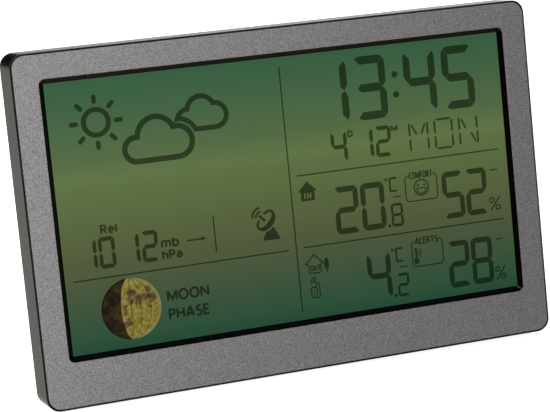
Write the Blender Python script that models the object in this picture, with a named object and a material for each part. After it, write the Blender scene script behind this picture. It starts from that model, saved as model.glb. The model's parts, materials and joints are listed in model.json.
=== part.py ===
"""Home weather station with a segment display, standing on a fold-out leg at its back.

Every part is modelled in the housing's own upright frame, which one empty then leans back:
    x  to the right, seen from the front
    y  depth, from 0 at the front face towards the back
    z  height, from 0 at the housing's underside
"""

import math

import bmesh
import bpy
from mathutils import Vector

MM = 0.001

# Driving sizes
WIDTH = 201 * MM
HEIGHT = 129 * MM
WALL = 2 * MM
BACK_Y = 17 * MM
HUMP_Y = 23 * MM
TOP_SPREAD = 0.4 * MM
SIDE_SPREAD = 0.2 * MM
CORNER_RADIUS = 5 * MM
BACK_EDGE_RADIUS = 1.4 * MM
BACK_EDGE_STEPS = 5
CORNER_STEPS = 8
GAP = 0.3 * MM
LEAN = math.radians(16.4)

# The step round the shell's rim that the bezel drops into
RIM_WIDTH = 0.85 * MM
SKIRT_INSET = WALL + 0.4 * MM
SKIRT_THICKNESS = 1.4 * MM
SKIRT_Y = 5.5 * MM

# The window in the bezel and the frame's bevel inside it
WINDOW_HALF = 90.75 * MM
WINDOW_BOTTOM = 16.9 * MM
WINDOW_TOP = 119.3 * MM
WINDOW_RADIUS = 2.2 * MM
BEVEL_WIDTH = 1.65 * MM
BEZEL_THICKNESS = 1.35 * MM
FRAME_HALF = 94.8 * MM
FRAME_Z = (12.7 * MM, 124.3 * MM)
FRAME_WALL = 1.5 * MM
FRAME_BACK_Y = 8.2 * MM

# The display stack, as front and back depths
LCD_HALF = 93 * MM
LCD_BOTTOM = 14.5 * MM
LCD_TOP = 122.5 * MM
LCD_CELL_TOP = 119.6 * MM
FRONT_GLASS_Y = (2.2 * MM, 3.3 * MM)
REAR_GLASS_Y = (3.6 * MM, 4.7 * MM)
FILM_Y = (4.95 * MM, 5.15 * MM)
LIGHT_GUIDE_Y = (5.4 * MM, 7.7 * MM)
REFLECTOR_Y = (7.95 * MM, 8.1 * MM)
HOLDER_Y = (8.5 * MM, 9.4 * MM)
BOARD_Y = (10.2 * MM, 11.4 * MM)
PARTS_Y = BOARD_Y[1] + GAP
SHEET_INSET = 2 * MM
LED_COUNT = 5
LED_PITCH = 18 * MM
LED_FIRST_Z = 32 * MM
LED_BAR_Z = (24 * MM, 112 * MM)
HOLDER_HALF = 92 * MM
HOLDER_Z = (57 * MM, 124 * MM)
ZEBRA_HALF = 57 * MM
ZEBRA_Z = (119.9 * MM, 121.9 * MM)

# Main board and the parts on its back
BOARD_HALF = 62 * MM
BOARD_Z = (58 * MM, 123 * MM)
BOARD_SCREW_X = 57.5 * MM
BOARD_SCREW_ZS = (62 * MM, 116 * MM)
CHIP_X = (-30 * MM, -12 * MM)
CHIP_Z = (72 * MM, 90 * MM)
CHIP_CORNER = 8.9 * MM
CHIP_RISES = ((0, 0), (0.6 * MM, 0.9 * MM), (2.5 * MM, 1.7 * MM), (5.5 * MM, 2.1 * MM))
CRYSTAL_X = (2 * MM, 10 * MM)
CRYSTAL_Z = 96 * MM
CAPACITOR_X = (36 * MM, 44 * MM)
CAPACITOR_Z = 68 * MM
PRESSURE_X = 22 * MM
PRESSURE_Z = 82 * MM

# Batteries and their box
CELL_RADIUS = 5.25 * MM
CELL_LENGTH = 44.5 * MM
CELL_SHIFT = 0.55 * MM
CELL_NUB = 1 * MM
CELL_COUNT = 3
LEAD_XS = (20 * MM, 12 * MM)
LEAD_Z = (53.4 * MM, 65.3 * MM)
CELL_PITCH = 11.25 * MM
CELL_Y = 15.75 * MM
CELL_Z = 34 * MM
POCKET_HALF = 27 * MM
POCKET_Z = (17 * MM, 51 * MM)
POCKET_FLOOR_Y = 10.2 * MM
DOOR_Y = (21.4 * MM, 22.9 * MM)
DOOR_HALF = 28.7 * MM
DOOR_Z = (13.4 * MM, 52.4 * MM)
DOOR_RAIL = 0.9 * MM
DOOR_TONGUE = 2 * MM
HUMP_HALF = 31.5 * MM
HUMP_Z = (13.2 * MM, 90 * MM)

# Fold-out leg
LEG_HINGE_Y = 20 * MM
LEG_HINGE_Z = 77 * MM
LEG_OPEN = math.radians(30)
LEG_ARM_X = (33 * MM, 41.8 * MM)
LEG_HALF_THICKNESS = 2.2 * MM
LEG_HEEL = 1.95 * MM
LEG_KNUCKLE = 2.7 * MM
LEG_END = -72.5 * MM
LEG_BAR_TOP = -64.6 * MM
PIN_RADIUS = 1.4 * MM
PIN_HOLE_RADIUS = 1.5 * MM
FINGER_RECESS = 0.6 * MM
FINGER_RECESS_HALF = 24 * MM
PAD_HALF = 40 * MM
EAR_X = (42.6 * MM, 47.5 * MM)

# The flat that the feet and the leg stand on, as its distance below the housing's origin
FLOOR_DROP = 4.7 * MM
FOOT_X = 70 * MM
FOOT_HALF = 13 * MM
FOOT_Y = (10.6 * MM, 14.8 * MM)

# Keys along the top of the back
KEY_NAMES = ("set", "up", "down", "alarm", "channel", "memory")
KEY_PITCH = 20 * MM
KEY_Z = 110 * MM
KEY_HALF = 5.5 * MM
KEY_RADIUS = 3 * MM
KEY_FLANGE = 1 * MM
KEY_TRAVEL = 0.7 * MM
PLUNGER_Y = 13.1 * MM

SCREW_XS = (-90 * MM, -56 * MM, 56 * MM, 90 * MM)
SCREW_Z = 8 * MM
VENT_X = -76 * MM
VENT_HALF = 10 * MM
VENT_SLOTS = 6
VENT_PITCH = 3.4 * MM
BUZZER_X = 76 * MM
SOUND_HOLE_RING = 4.6 * MM
SOUND_HOLE_RADIUS = 0.9 * MM
LOWER_Z = 31 * MM
JACK_X = 53 * MM
JACK_Z = 26 * MM
JACK_RADIUS = 4 * MM
JACK_HOLE_RADIUS = 2.8 * MM

# Radio parts beside the main board
FERRITE_X = (36 * MM, 90 * MM)
COIL_X = (52 * MM, 76 * MM)
FERRITE_Z = 47 * MM
RADIO_X = (-92 * MM, -68 * MM)
RADIO_Z = (60 * MM, 74 * MM)
AERIAL_X = -80 * MM
AERIAL_Z = (75 * MM, 89 * MM)
AERIAL_TURNS = 6


def clear_scene():
    for old in list(bpy.data.objects):
        bpy.data.objects.remove(old)


# ---------------------------------------------------------------- materials


def material(name, colour, roughness, metallic=0.0):
    """A Principled material, made once for each name."""
    found = bpy.data.materials.get(name)
    if found:
        return found
    made = bpy.data.materials.new(name)
    made.use_nodes = True
    shader = made.node_tree.nodes["Principled BSDF"]
    shader.inputs["Base Color"].default_value = (*colour, 1)
    shader.inputs["Roughness"].default_value = roughness
    shader.inputs["Metallic"].default_value = metallic
    made.diffuse_color = (*colour, 1)
    return made


def bezel_paint():
    return material("graphite_metallic", (0.22, 0.215, 0.22), 0.45, 0.6)


def shell_paint():
    return material("graphite_satin", (0.16, 0.155, 0.15), 0.4, 0.5)


def black_plastic():
    return material("black_plastic", (0.012, 0.012, 0.012), 0.35)


def dark_plastic():
    return material("dark_plastic", (0.03, 0.03, 0.032), 0.5)


def rubber():
    return material("rubber", (0.02, 0.02, 0.02), 0.85)


def steel():
    return material("steel", (0.6, 0.6, 0.6), 0.3, 1.0)


def nickel():
    return material("nickel", (0.7, 0.68, 0.62), 0.25, 1.0)


def board_green():
    return material("board_green", (0.02, 0.16, 0.06), 0.4)


# ------------------------------------------------------------- mesh helpers


def finish(name, bm, paint, parent):
    """Turns a bmesh into a named, closed object that faces outwards."""
    bmesh.ops.recalc_face_normals(bm, faces=bm.faces)
    mesh = bpy.data.meshes.new(name)
    bm.to_mesh(mesh)
    bm.free()
    made = bpy.data.objects.new(name, mesh)
    bpy.context.scene.collection.objects.link(made)
    mesh.materials.append(paint)
    mesh.shade_smooth()
    mesh.set_sharp_from_angle(angle=math.radians(30))
    made.parent = parent
    return made


def rounded_rectangle(x0, x1, z0, z1, radius, steps=CORNER_STEPS):
    """(x, z) points round a rectangle, each corner an arc of the given number of steps."""
    centres = (
        (x1 - radius, z1 - radius, 0),
        (x0 + radius, z1 - radius, 1),
        (x0 + radius, z0 + radius, 2),
        (x1 - radius, z0 + radius, 3),
    )
    points = []
    for cx, cz, quarter in centres:
        for step in range(steps + 1):
            angle = (quarter + step / steps) * math.pi / 2
            points.append((cx + radius * math.cos(angle), cz + radius * math.sin(angle)))
    return points


def housing_outline(inset, spread=0.0):
    """The housing's outline, moved in by inset. Its top and sides stand out by a share of their spread."""
    half = WIDTH / 2 - inset + SIDE_SPREAD * spread
    top = HEIGHT - inset + TOP_SPREAD * spread
    return rounded_rectangle(-half, half, inset, top, CORNER_RADIUS - inset * 0.6)


def window_outline(inset, radius=None):
    """The bezel window's outline, moved in by inset."""
    half = WINDOW_HALF - inset
    corner = WINDOW_RADIUS - inset if radius is None else radius
    return rounded_rectangle(-half, half, WINDOW_BOTTOM + inset, WINDOW_TOP - inset, corner)


def skin(bm, sections, closed):
    """Joins (outline, y) sections in order with quads, and caps the ends unless closed."""
    loops = [[bm.verts.new((x, y, z)) for x, z in outline] for outline, y in sections]
    count = len(loops[0])
    pairs = list(zip(loops, loops[1:]))
    if closed:
        pairs.append((loops[-1], loops[0]))
    for one, two in pairs:
        for i in range(count):
            j = (i + 1) % count
            bm.faces.new((one[i], one[j], two[j], two[i]))
    if not closed:
        bm.faces.new(loops[0])
        bm.faces.new(loops[-1])


def loft(name, sections, paint, parent, closed=False):
    bm = bmesh.new()
    skin(bm, sections, closed)
    return finish(name, bm, paint, parent)


def block(name, xs, ys, zs, paint, parent, bevel=0.0, radius=0.0):
    """A box from three (low, high) pairs, with upright corners of a radius or all edges bevelled."""
    steps = 4 if radius else 1
    outline = rounded_rectangle(*xs, *zs, radius, steps) if radius else None
    bm = bmesh.new()
    if outline:
        skin(bm, [(outline, ys[0]), (outline, ys[1])], closed=False)
    else:
        bmesh.ops.create_cube(bm, size=1)
        for vert in bm.verts:
            vert.co = Vector(
                pair[0] if co < 0 else pair[1] for pair, co in zip((xs, ys, zs), vert.co)
            )
    made = finish(name, bm, paint, parent)
    if bevel:
        round_edges(made, bevel)
    return made


def round_edges(obj, width, segments=1):
    """Bevels the sharp edges for good."""
    modifier = obj.modifiers.new("edges", "BEVEL")
    modifier.width = width
    modifier.segments = segments
    modifier.limit_method = "ANGLE"
    modifier.angle_limit = math.radians(40)
    apply_modifiers(obj)


def rod(name, start, end, radius, paint, parent, sides=16, end_radius=None):
    """A straight round bar or cone between two points."""
    bm = bmesh.new()
    axis = Vector(end) - Vector(start)
    turn = axis.to_track_quat("Z", "Y").to_matrix().to_4x4()
    turn.translation = (Vector(start) + Vector(end)) / 2
    bmesh.ops.create_cone(
        bm,
        cap_ends=True,
        segments=sides,
        radius1=radius,
        radius2=radius if end_radius is None else end_radius,
        depth=axis.length,
        matrix=turn,
    )
    return finish(name, bm, paint, parent)


def prism(name, profile, xs, paint, parent):
    """A (y, z) profile pushed along x."""
    bm = bmesh.new()
    ends = [[bm.verts.new((x, y, z)) for y, z in profile] for x in xs]
    bm.faces.new(ends[0])
    bm.faces.new(ends[1])
    for i in range(len(profile)):
        j = (i + 1) % len(profile)
        bm.faces.new((ends[0][i], ends[0][j], ends[1][j], ends[1][i]))
    return finish(name, bm, paint, parent)


def wire(name, points, radius, paint, parent, sides=6):
    """A round wire of flat-capped rings along a list of points."""
    points = [Vector(p) for p in points]
    bm = bmesh.new()
    rings = []
    side = None
    for i, point in enumerate(points):
        ahead = points[min(i + 1, len(points) - 1)] - points[max(i - 1, 0)]
        ahead.normalize()
        if side is None:
            side = ahead.orthogonal().normalized()
        side = (side - ahead * side.dot(ahead)).normalized()
        up = ahead.cross(side)
        turns = [2 * math.pi * k / sides for k in range(sides)]
        rings.append(
            [bm.verts.new(point + radius * (side * math.cos(t) + up * math.sin(t))) for t in turns]
        )
    for one, two in zip(rings, rings[1:]):
        for i in range(sides):
            j = (i + 1) % sides
            bm.faces.new((one[i], one[j], two[j], two[i]))
    bm.faces.new(rings[0])
    bm.faces.new(rings[-1])
    return finish(name, bm, paint, parent)


def apply_modifiers(obj):
    bpy.context.view_layer.update()
    graph = bpy.context.evaluated_depsgraph_get()
    mesh = bpy.data.meshes.new_from_object(obj.evaluated_get(graph))
    obj.modifiers.clear()
    obj.data = mesh


def combine(target, operation, tools):
    """Adds the tools to the target, or cuts them from it, and removes them."""
    for tool in tools:
        modifier = target.modifiers.new(tool.name, "BOOLEAN")
        modifier.operation = operation
        modifier.solver = "EXACT"
        modifier.object = tool
        apply_modifiers(target)
        bpy.data.objects.remove(tool)
    return target


def fuse(target, *tools):
    return combine(target, "UNION", tools)


def carve(target, *tools):
    return combine(target, "DIFFERENCE", tools)


# ------------------------------------------------------------------ housing


def rear_shell(parent):
    """Side walls and back in one moulding, with the battery box and the hinge ears."""
    paint = shell_paint()
    lip_y = BEZEL_THICKNESS + GAP
    sections = [
        (housing_outline(WALL), BACK_Y - WALL),
        (housing_outline(WALL), lip_y),
        (housing_outline(RIM_WIDTH), lip_y),
        (housing_outline(0.34 * MM), 0.12 * MM),
        (housing_outline(0.18 * MM), 0),
        (housing_outline(0), 0.2 * MM),
    ]
    for step in range(BACK_EDGE_STEPS + 1):
        angle = step / BACK_EDGE_STEPS * math.pi / 2
        inset = BACK_EDGE_RADIUS * (1 - math.cos(angle))
        depth = BACK_Y - BACK_EDGE_RADIUS * (1 - math.sin(angle))
        sections.append((housing_outline(inset, depth / BACK_Y), depth))
    shell = loft("rear_shell", sections, paint, parent)

    inside_y = BACK_Y - WALL - 0.5 * MM
    hump = [
        (rounded_rectangle(-HUMP_HALF, HUMP_HALF, *HUMP_Z, 3 * MM, 4), inside_y),
        (rounded_rectangle(-HUMP_HALF, HUMP_HALF, *HUMP_Z, 3 * MM, 4), HUMP_Y - 0.8 * MM),
        (
            rounded_rectangle(
                0.8 * MM - HUMP_HALF, HUMP_HALF - 0.8 * MM,
                HUMP_Z[0] + 0.8 * MM, HUMP_Z[1] - 0.8 * MM, 2.2 * MM, 4,
            ),
            HUMP_Y,
        ),
    ]
    fuse(shell, loft("hump", hump, paint, parent))
    ears = [ear_block(side, paint, parent) for side in (-1, 1)]
    fuse(shell, *ears)
    cavity_z = (POCKET_Z[1] + 3 * MM, HUMP_Z[1] - WALL)
    cavity_half = HUMP_HALF - WALL
    carve(
        shell,
        block("cavity", (-cavity_half, cavity_half), (12 * MM, 20 * MM), cavity_z, paint, parent),
    )
    box_z = (POCKET_Z[0] - WALL, POCKET_Z[1] + WALL)
    box_half = POCKET_HALF + WALL
    fuse(shell, block("box", (-box_half, box_half), (9 * MM, 16 * MM), box_z, paint, parent))
    for x in SCREW_XS:
        fuse(shell, rod("boss", (x, 9.3 * MM, SCREW_Z), (x, 15.5 * MM, SCREW_Z), 3.6 * MM, paint, parent))
    carve(shell, *shell_cutters(parent))
    return shell


def ear_block(side, paint, parent):
    """A lug beside the hump that one of the leg's pins turns in."""
    low, high = LEG_HINGE_Z - 7 * MM, LEG_HINGE_Z + 8 * MM
    base = BACK_Y - 1.1 * MM
    profile = [(base, low), (LEG_HINGE_Y, low), (HUMP_Y, LEG_HINGE_Z - 3.5 * MM)]
    profile += [(HUMP_Y, LEG_HINGE_Z + 3.5 * MM), (LEG_HINGE_Y, high), (base, high)]
    return prism("ear", profile, [side * x for x in EAR_X], paint, parent)


def stadium(x0, x1, z0, z1):
    return rounded_rectangle(x0, x1, z0, z1, (z1 - z0) / 2 - 0.01 * MM, 5)


def shell_cutters(parent):
    """Everything that is open in the shell's back: pocket, door seat, keys, vents and holes."""
    paint = dark_plastic()
    outside = HUMP_Y + 2 * MM
    through = (BACK_Y - WALL - 1.3 * MM, BACK_Y + 1.7 * MM)
    cutters = []

    def cut_block(xs, ys, zs, radius=0.0):
        cutters.append(block("cutter", xs, ys, zs, paint, parent, radius=radius))

    def cut_round(x, z, radius, ys, sides=16):
        cutters.append(rod("cutter", (x, ys[0], z), (x, ys[1], z), radius, paint, parent, sides))

    pocket_xs = (-POCKET_HALF, POCKET_HALF)
    cut_block(pocket_xs, (POCKET_FLOOR_Y, outside), POCKET_Z)
    below = HUMP_Z[0] - 2 * MM
    seat = DOOR_HALF + GAP
    cut_block((-seat, seat), (DOOR_Y[0] - GAP, outside), (below, DOOR_Z[1] + GAP))
    groove = seat + DOOR_RAIL
    rail_y = (DOOR_Y[0] - GAP, DOOR_Y[0] + DOOR_RAIL + 0.1 * MM)
    cut_block((-groove, groove), rail_y, (below, DOOR_Z[1] - DOOR_TONGUE + GAP))
    tongue_z = DOOR_Z[1] + DOOR_TONGUE + GAP
    cut_block((-8.3 * MM, 8.3 * MM), rail_y, (DOOR_Z[1] - DOOR_TONGUE, tongue_z))
    for index in range(len(KEY_NAMES)):
        x = key_x(index)
        half = KEY_HALF + GAP
        outline = stadium(x - half, x + half, KEY_Z - KEY_RADIUS - GAP, KEY_Z + KEY_RADIUS + GAP)
        cutters.append(loft("cutter", [(outline, through[0]), (outline, through[1])], paint, parent))
    for side in (-1, 1):
        start = (side * (EAR_X[0] - 1 * MM), LEG_HINGE_Y, LEG_HINGE_Z)
        end = (side * (EAR_X[1] + 1 * MM), LEG_HINGE_Y, LEG_HINGE_Z)
        cutters.append(rod("cutter", start, end, PIN_HOLE_RADIUS, paint, parent))
        foot_xs = sorted((side * (FOOT_X - FOOT_HALF - GAP), side * (FOOT_X + FOOT_HALF + GAP)))
        cut_block(foot_xs, (FOOT_Y[0] - GAP, FOOT_Y[1] + GAP * 0.9), (-2 * MM, 0.8 * MM))
    for row in range(VENT_SLOTS):
        z = LOWER_Z + (row - (VENT_SLOTS - 1) / 2) * VENT_PITCH
        outline = stadium(VENT_X - VENT_HALF, VENT_X + VENT_HALF, z - 0.8 * MM, z + 0.8 * MM)
        cutters.append(loft("cutter", [(outline, through[0]), (outline, through[1])], paint, parent))
    cut_round(JACK_X, JACK_Z, JACK_RADIUS + GAP, through, 24)
    cut_round(BUZZER_X, LOWER_Z, SOUND_HOLE_RADIUS, through, 10)
    for hole in range(6):
        angle = hole * math.pi / 3
        x = BUZZER_X + SOUND_HOLE_RING * math.cos(angle)
        z = LOWER_Z + SOUND_HOLE_RING * math.sin(angle)
        cut_round(x, z, SOUND_HOLE_RADIUS, through, 10)
    for x in SCREW_XS:
        cut_round(x, SCREW_Z, 1.45 * MM, (8 * MM, 18 * MM))
        cut_round(x, SCREW_Z, 2.9 * MM, (11.6 * MM, 18 * MM))
    return cutters


def front_bezel(parent):
    """The painted face plate with its window, a stiffening skirt and four screw posts."""
    paint = bezel_paint()
    sections = [
        (housing_outline(0.84 * MM), 0),
        (housing_outline(0.72 * MM), 0.12 * MM),
        (housing_outline(1.15 * MM), BEZEL_THICKNESS),
        (housing_outline(SKIRT_INSET), BEZEL_THICKNESS),
        (housing_outline(SKIRT_INSET), SKIRT_Y),
        (housing_outline(SKIRT_INSET + SKIRT_THICKNESS), SKIRT_Y),
        (housing_outline(SKIRT_INSET + SKIRT_THICKNESS), BEZEL_THICKNESS),
        (window_outline(0), BEZEL_THICKNESS),
        (window_outline(0), 0.1 * MM),
        (window_outline(-0.1 * MM), 0),
    ]
    bezel = loft("front_bezel", sections, paint, parent, closed=True)
    for x in SCREW_XS:
        start, end = (x, 1 * MM, SCREW_Z), (x, 9 * MM, SCREW_Z)
        fuse(bezel, rod("post", start, end, 2.6 * MM, paint, parent))
    for x in SCREW_XS:
        start, end = (x, 3 * MM, SCREW_Z), (x, 10 * MM, SCREW_Z)
        carve(bezel, rod("pilot", start, end, 1.3 * MM, paint, parent))
    return bezel


def feet(parent):
    """Two rubber wedges let into the underside, flat on the table while the housing leans."""
    high = 0.5 * MM
    profile = [(FOOT_Y[0], high), (FOOT_Y[1], high)]
    profile += [(y, floor_height(y)) for y in reversed(FOOT_Y)]
    for name, x in (("foot_left", -FOOT_X), ("foot_right", FOOT_X)):
        prism(name, profile, (x - FOOT_HALF, x + FOOT_HALF), rubber(), parent)


def floor_height(y):
    """The table's height in the leaning housing's own frame, at depth y."""
    return (y * math.sin(LEAN) - FLOOR_DROP) / math.cos(LEAN)


def housing_screws(parent):
    for number, x in enumerate(SCREW_XS, 1):
        start, end = (x, 4 * MM, SCREW_Z), (x, 12.2 * MM, SCREW_Z)
        screw = rod(f"housing_screw_{number}", start, end, 1.1 * MM, steel(), parent, 10)
        head = rod("head", (x, 11.9 * MM, SCREW_Z), (x, 13.6 * MM, SCREW_Z), 2.5 * MM, steel(), parent)
        fuse(screw, head)
        carve(screw, *cross_slot(x, SCREW_Z, 13 * MM, 15 * MM, 1.6 * MM, parent))


def cross_slot(x, z, y0, y1, half, parent):
    """Two thin bars that cut a cross recess."""
    thin = 0.35 * MM
    wide = block("cutter", (x - half, x + half), (y0, y1), (z - thin, z + thin), steel(), parent)
    tall = block("cutter", (x - thin, x + thin), (y0, y1), (z - half, z + half), steel(), parent)
    return wide, tall


# ------------------------------------------------------------------ display


def display_frame(parent):
    """Black frame round the glass, with a mitred bevel that shows inside the window."""
    outer = rounded_rectangle(-FRAME_HALF, FRAME_HALF, *FRAME_Z, 1.5 * MM)
    half = FRAME_HALF - FRAME_WALL
    inner = rounded_rectangle(-half, half, FRAME_Z[0] + FRAME_WALL, FRAME_Z[1] - FRAME_WALL, 0.5 * MM)
    sections = [
        (window_outline(0.15 * MM), 0.1 * MM),
        (window_outline(0.15 * MM), BEZEL_THICKNESS + 0.15 * MM),
        (outer, BEZEL_THICKNESS + 0.15 * MM),
        (outer, FRAME_BACK_Y),
        (inner, FRAME_BACK_Y),
        (inner, FRONT_GLASS_Y[0] - 0.2 * MM),
        (window_outline(BEVEL_WIDTH, 0.2 * MM), FRONT_GLASS_Y[0] - 0.2 * MM),
        (window_outline(0.35 * MM), 0.1 * MM),
    ]
    return loft("display_frame", sections, black_plastic(), parent, closed=True)


def display_stack(parent):
    """The glass cell, the tinted film, the light guide and its reflector, front to back."""
    glass = material("glass", (0.75, 0.85, 0.8), 0.08)
    across = (-LCD_HALF, LCD_HALF)
    block("lcd_front_glass", across, FRONT_GLASS_Y, (LCD_BOTTOM, LCD_TOP), glass, parent)
    block("lcd_rear_glass", across, REAR_GLASS_Y, (LCD_BOTTOM, LCD_CELL_TOP), glass, parent)
    film = material("tinted_film", (0.12, 0.2, 0.1), 0.5)
    inner = (SHEET_INSET - LCD_HALF, LCD_HALF - SHEET_INSET)
    upright = (LCD_BOTTOM + 1.5 * MM, LCD_CELL_TOP)
    block("colour_film", inner, FILM_Y, upright, film, parent)
    acrylic = material("acrylic", (0.9, 0.92, 0.92), 0.1)
    block("light_guide", inner, LIGHT_GUIDE_Y, upright, acrylic, parent)
    white = material("white_plastic", (0.85, 0.85, 0.85), 0.5)
    block("reflector_sheet", inner, REFLECTOR_Y, upright, white, parent)
    for name, side in (("led_bar_left", -1), ("led_bar_right", 1)):
        led_bar(name, side, parent)


def led_bar(name, side, parent):
    """A strip of board with five lamps against the light guide's edge."""
    ys = (LIGHT_GUIDE_Y[0], LIGHT_GUIDE_Y[1])
    inner = LCD_HALF - SHEET_INSET + GAP
    board = sorted((side * (inner + 0.7 * MM), side * (inner + 1.6 * MM)))
    bar = block(name, board, ys, LED_BAR_Z, board_green(), parent)
    for lamp in range(LED_COUNT):
        z = LED_FIRST_Z + lamp * LED_PITCH
        lamp_xs = sorted((side * inner, side * (inner + 1 * MM)))
        lamp_ys = (ys[0] + 0.4 * MM, ys[1] - 0.4 * MM)
        fuse(bar, block("lamp", lamp_xs, lamp_ys, (z - 1.5 * MM, z + 1.5 * MM), board_green(), parent))


def backlight_holder(parent):
    """Panel behind the reflector that carries the board on four posts, with a slot for the contact strip."""
    white = material("white_plastic", (0.85, 0.85, 0.85), 0.5)
    across = (-HOLDER_HALF, HOLDER_HALF)
    holder = block("backlight_holder", across, HOLDER_Y, HOLDER_Z, white, parent)
    for x, z in board_screw_places():
        start, end = (x, HOLDER_Y[0] + 0.2 * MM, z), (x, BOARD_Y[0] - GAP, z)
        fuse(holder, rod("post", start, end, 2.6 * MM, white, parent, 12))
    slot_x = (-ZEBRA_HALF - 1 * MM, ZEBRA_HALF + 1 * MM)
    slot_z = (ZEBRA_Z[0] - 1 * MM, ZEBRA_Z[1] + 0.4 * MM)
    carve(holder, block("cutter", slot_x, (8 * MM, 10 * MM), slot_z, white, parent))
    for x, z in board_screw_places():
        carve(holder, rod("cutter", (x, 8 * MM, z), (x, 10.4 * MM, z), 0.9 * MM, white, parent, 10))
    return holder


def zebra_strip(parent):
    """Elastic contact strip between the glass's ledge and the board."""
    grey = material("silicone", (0.2, 0.2, 0.22), 0.7)
    ys = (FRONT_GLASS_Y[1] + GAP, BOARD_Y[0] - GAP)
    block("zebra_strip", (-ZEBRA_HALF, ZEBRA_HALF), ys, ZEBRA_Z, grey, parent)


# -------------------------------------------------------------- electronics


def board_screw_places():
    return [(side * BOARD_SCREW_X, z) for side in (-1, 1) for z in BOARD_SCREW_ZS]


def main_board(parent):
    green = board_green()
    board = block("main_board", (-BOARD_HALF, BOARD_HALF), BOARD_Y, BOARD_Z, green, parent)
    for x, z in board_screw_places():
        carve(board, rod("cutter", (x, 9 * MM, z), (x, 13 * MM, z), 1.3 * MM, green, parent, 12))
    for number, (x, z) in enumerate(board_screw_places(), 1):
        start, end = (x, 8.9 * MM, z), (x, 12.2 * MM, z)
        screw = rod(f"board_screw_{number}", start, end, 0.7 * MM, steel(), parent, 8)
        fuse(screw, rod("head", (x, PARTS_Y, z), (x, 13 * MM, z), 2 * MM, steel(), parent, 12))
        carve(screw, *cross_slot(x, z, 12.5 * MM, 14 * MM, 1.2 * MM, parent))


def board_parts(parent):
    """The parts soldered to the back of the main board."""
    dome = []
    for inset, rise in CHIP_RISES:
        low_x, high_x = CHIP_X[0] + inset, CHIP_X[1] - inset
        low_z, high_z = CHIP_Z[0] + inset, CHIP_Z[1] - inset
        outline = rounded_rectangle(low_x, high_x, low_z, high_z, CHIP_CORNER - inset, 5)
        dome.append((outline, PARTS_Y + rise))
    loft("controller_chip", dome, dark_plastic(), parent)
    crystal = [(x, 13 * MM, CRYSTAL_Z) for x in CRYSTAL_X]
    rod("quartz_crystal", *crystal, 1.2 * MM, nickel(), parent, 12)
    capacitor = [(x, 13.3 * MM, CAPACITOR_Z) for x in CAPACITOR_X]
    sleeve = material("blue_sleeve", (0.03, 0.06, 0.2), 0.4)
    rod("capacitor", *capacitor, 1.55 * MM, sleeve, parent, 14)
    sensor = [(PRESSURE_X, y, PRESSURE_Z) for y in (PARTS_Y, 13.2 * MM)]
    vent = [(PRESSURE_X, y, PRESSURE_Z) for y in (12.6 * MM, 14 * MM)]
    can = rod("pressure_sensor", *sensor, 3 * MM, nickel(), parent)
    carve(can, rod("cutter", *vent, 0.5 * MM, nickel(), parent, 8))


def key_x(index):
    return (index - (len(KEY_NAMES) - 1) / 2) * KEY_PITCH


def key_outline(inset):
    return stadium(inset - KEY_HALF, KEY_HALF - inset, inset - KEY_RADIUS, KEY_RADIUS - inset)


def keys(parent):
    """Six keys at the back, each over its own low switch on the board."""
    switch_half = 2.6 * MM
    switch_z = (KEY_Z - switch_half, KEY_Z + switch_half)
    sections = [
        (key_outline(-KEY_FLANGE), 0),
        (key_outline(-KEY_FLANGE), 0.8 * MM),
        (key_outline(0), 0.8 * MM),
        (key_outline(0), 3.6 * MM),
        (key_outline(0.4 * MM), 4 * MM),
    ]
    for index, name in enumerate(KEY_NAMES):
        x = key_x(index)
        switch_x = (x - switch_half, x + switch_half)
        black = dark_plastic()
        switch = block(f"switch_{name}", switch_x, (PARTS_Y, 12.7 * MM), switch_z, black, parent)
        start, end = (x, 12.4 * MM, KEY_Z), (x, PLUNGER_Y, KEY_Z)
        fuse(switch, rod("plunger", start, end, 1.2 * MM, black, parent, 10))
        key = loft(f"key_{name}", sections, black, parent)
        key.location = (x, PLUNGER_Y + KEY_TRAVEL + 0.1 * MM, KEY_Z)


def radio_parts(parent):
    """Time-signal ferrite aerial, and the outdoor sensor's receiver with its coiled aerial."""
    ferrite = material("ferrite", (0.04, 0.04, 0.045), 0.6)
    copper = material("copper_wire", (0.55, 0.2, 0.08), 0.3, 1.0)
    y, z = 11.9 * MM, FERRITE_Z
    rod("ferrite_rod", *[(x, y, z) for x in FERRITE_X], 2.2 * MM, ferrite, parent)
    coil = rod("antenna_coil", *[(x, y, z) for x in COIL_X], 2.9 * MM, copper, parent, 20)
    bore = [(COIL_X[0] - 2 * MM, y, z), (COIL_X[1] + 2 * MM, y, z)]
    carve(coil, rod("cutter", *bore, 2.4 * MM, copper, parent, 20))
    board = block("radio_module", RADIO_X, (11 * MM, 12 * MM), RADIO_Z, board_green(), parent)
    can_x = (RADIO_X[0] + 4 * MM, RADIO_X[1] - 6 * MM)
    can_z = (RADIO_Z[0] + 3 * MM, RADIO_Z[1] - 3 * MM)
    fuse(board, block("can", can_x, (11.8 * MM, 13.8 * MM), can_z, nickel(), parent))
    steps = 12
    radius = 2 * MM
    helix = []
    for k in range(AERIAL_TURNS * steps + 1):
        angle = 2 * math.pi * k / steps
        height = AERIAL_Z[0] + (AERIAL_Z[1] - AERIAL_Z[0]) * k / (AERIAL_TURNS * steps)
        helix.append((AERIAL_X + radius * math.cos(angle), 12 * MM + radius * math.sin(angle), height))
    wire("radio_antenna", helix, 0.4 * MM, copper, parent)


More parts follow.
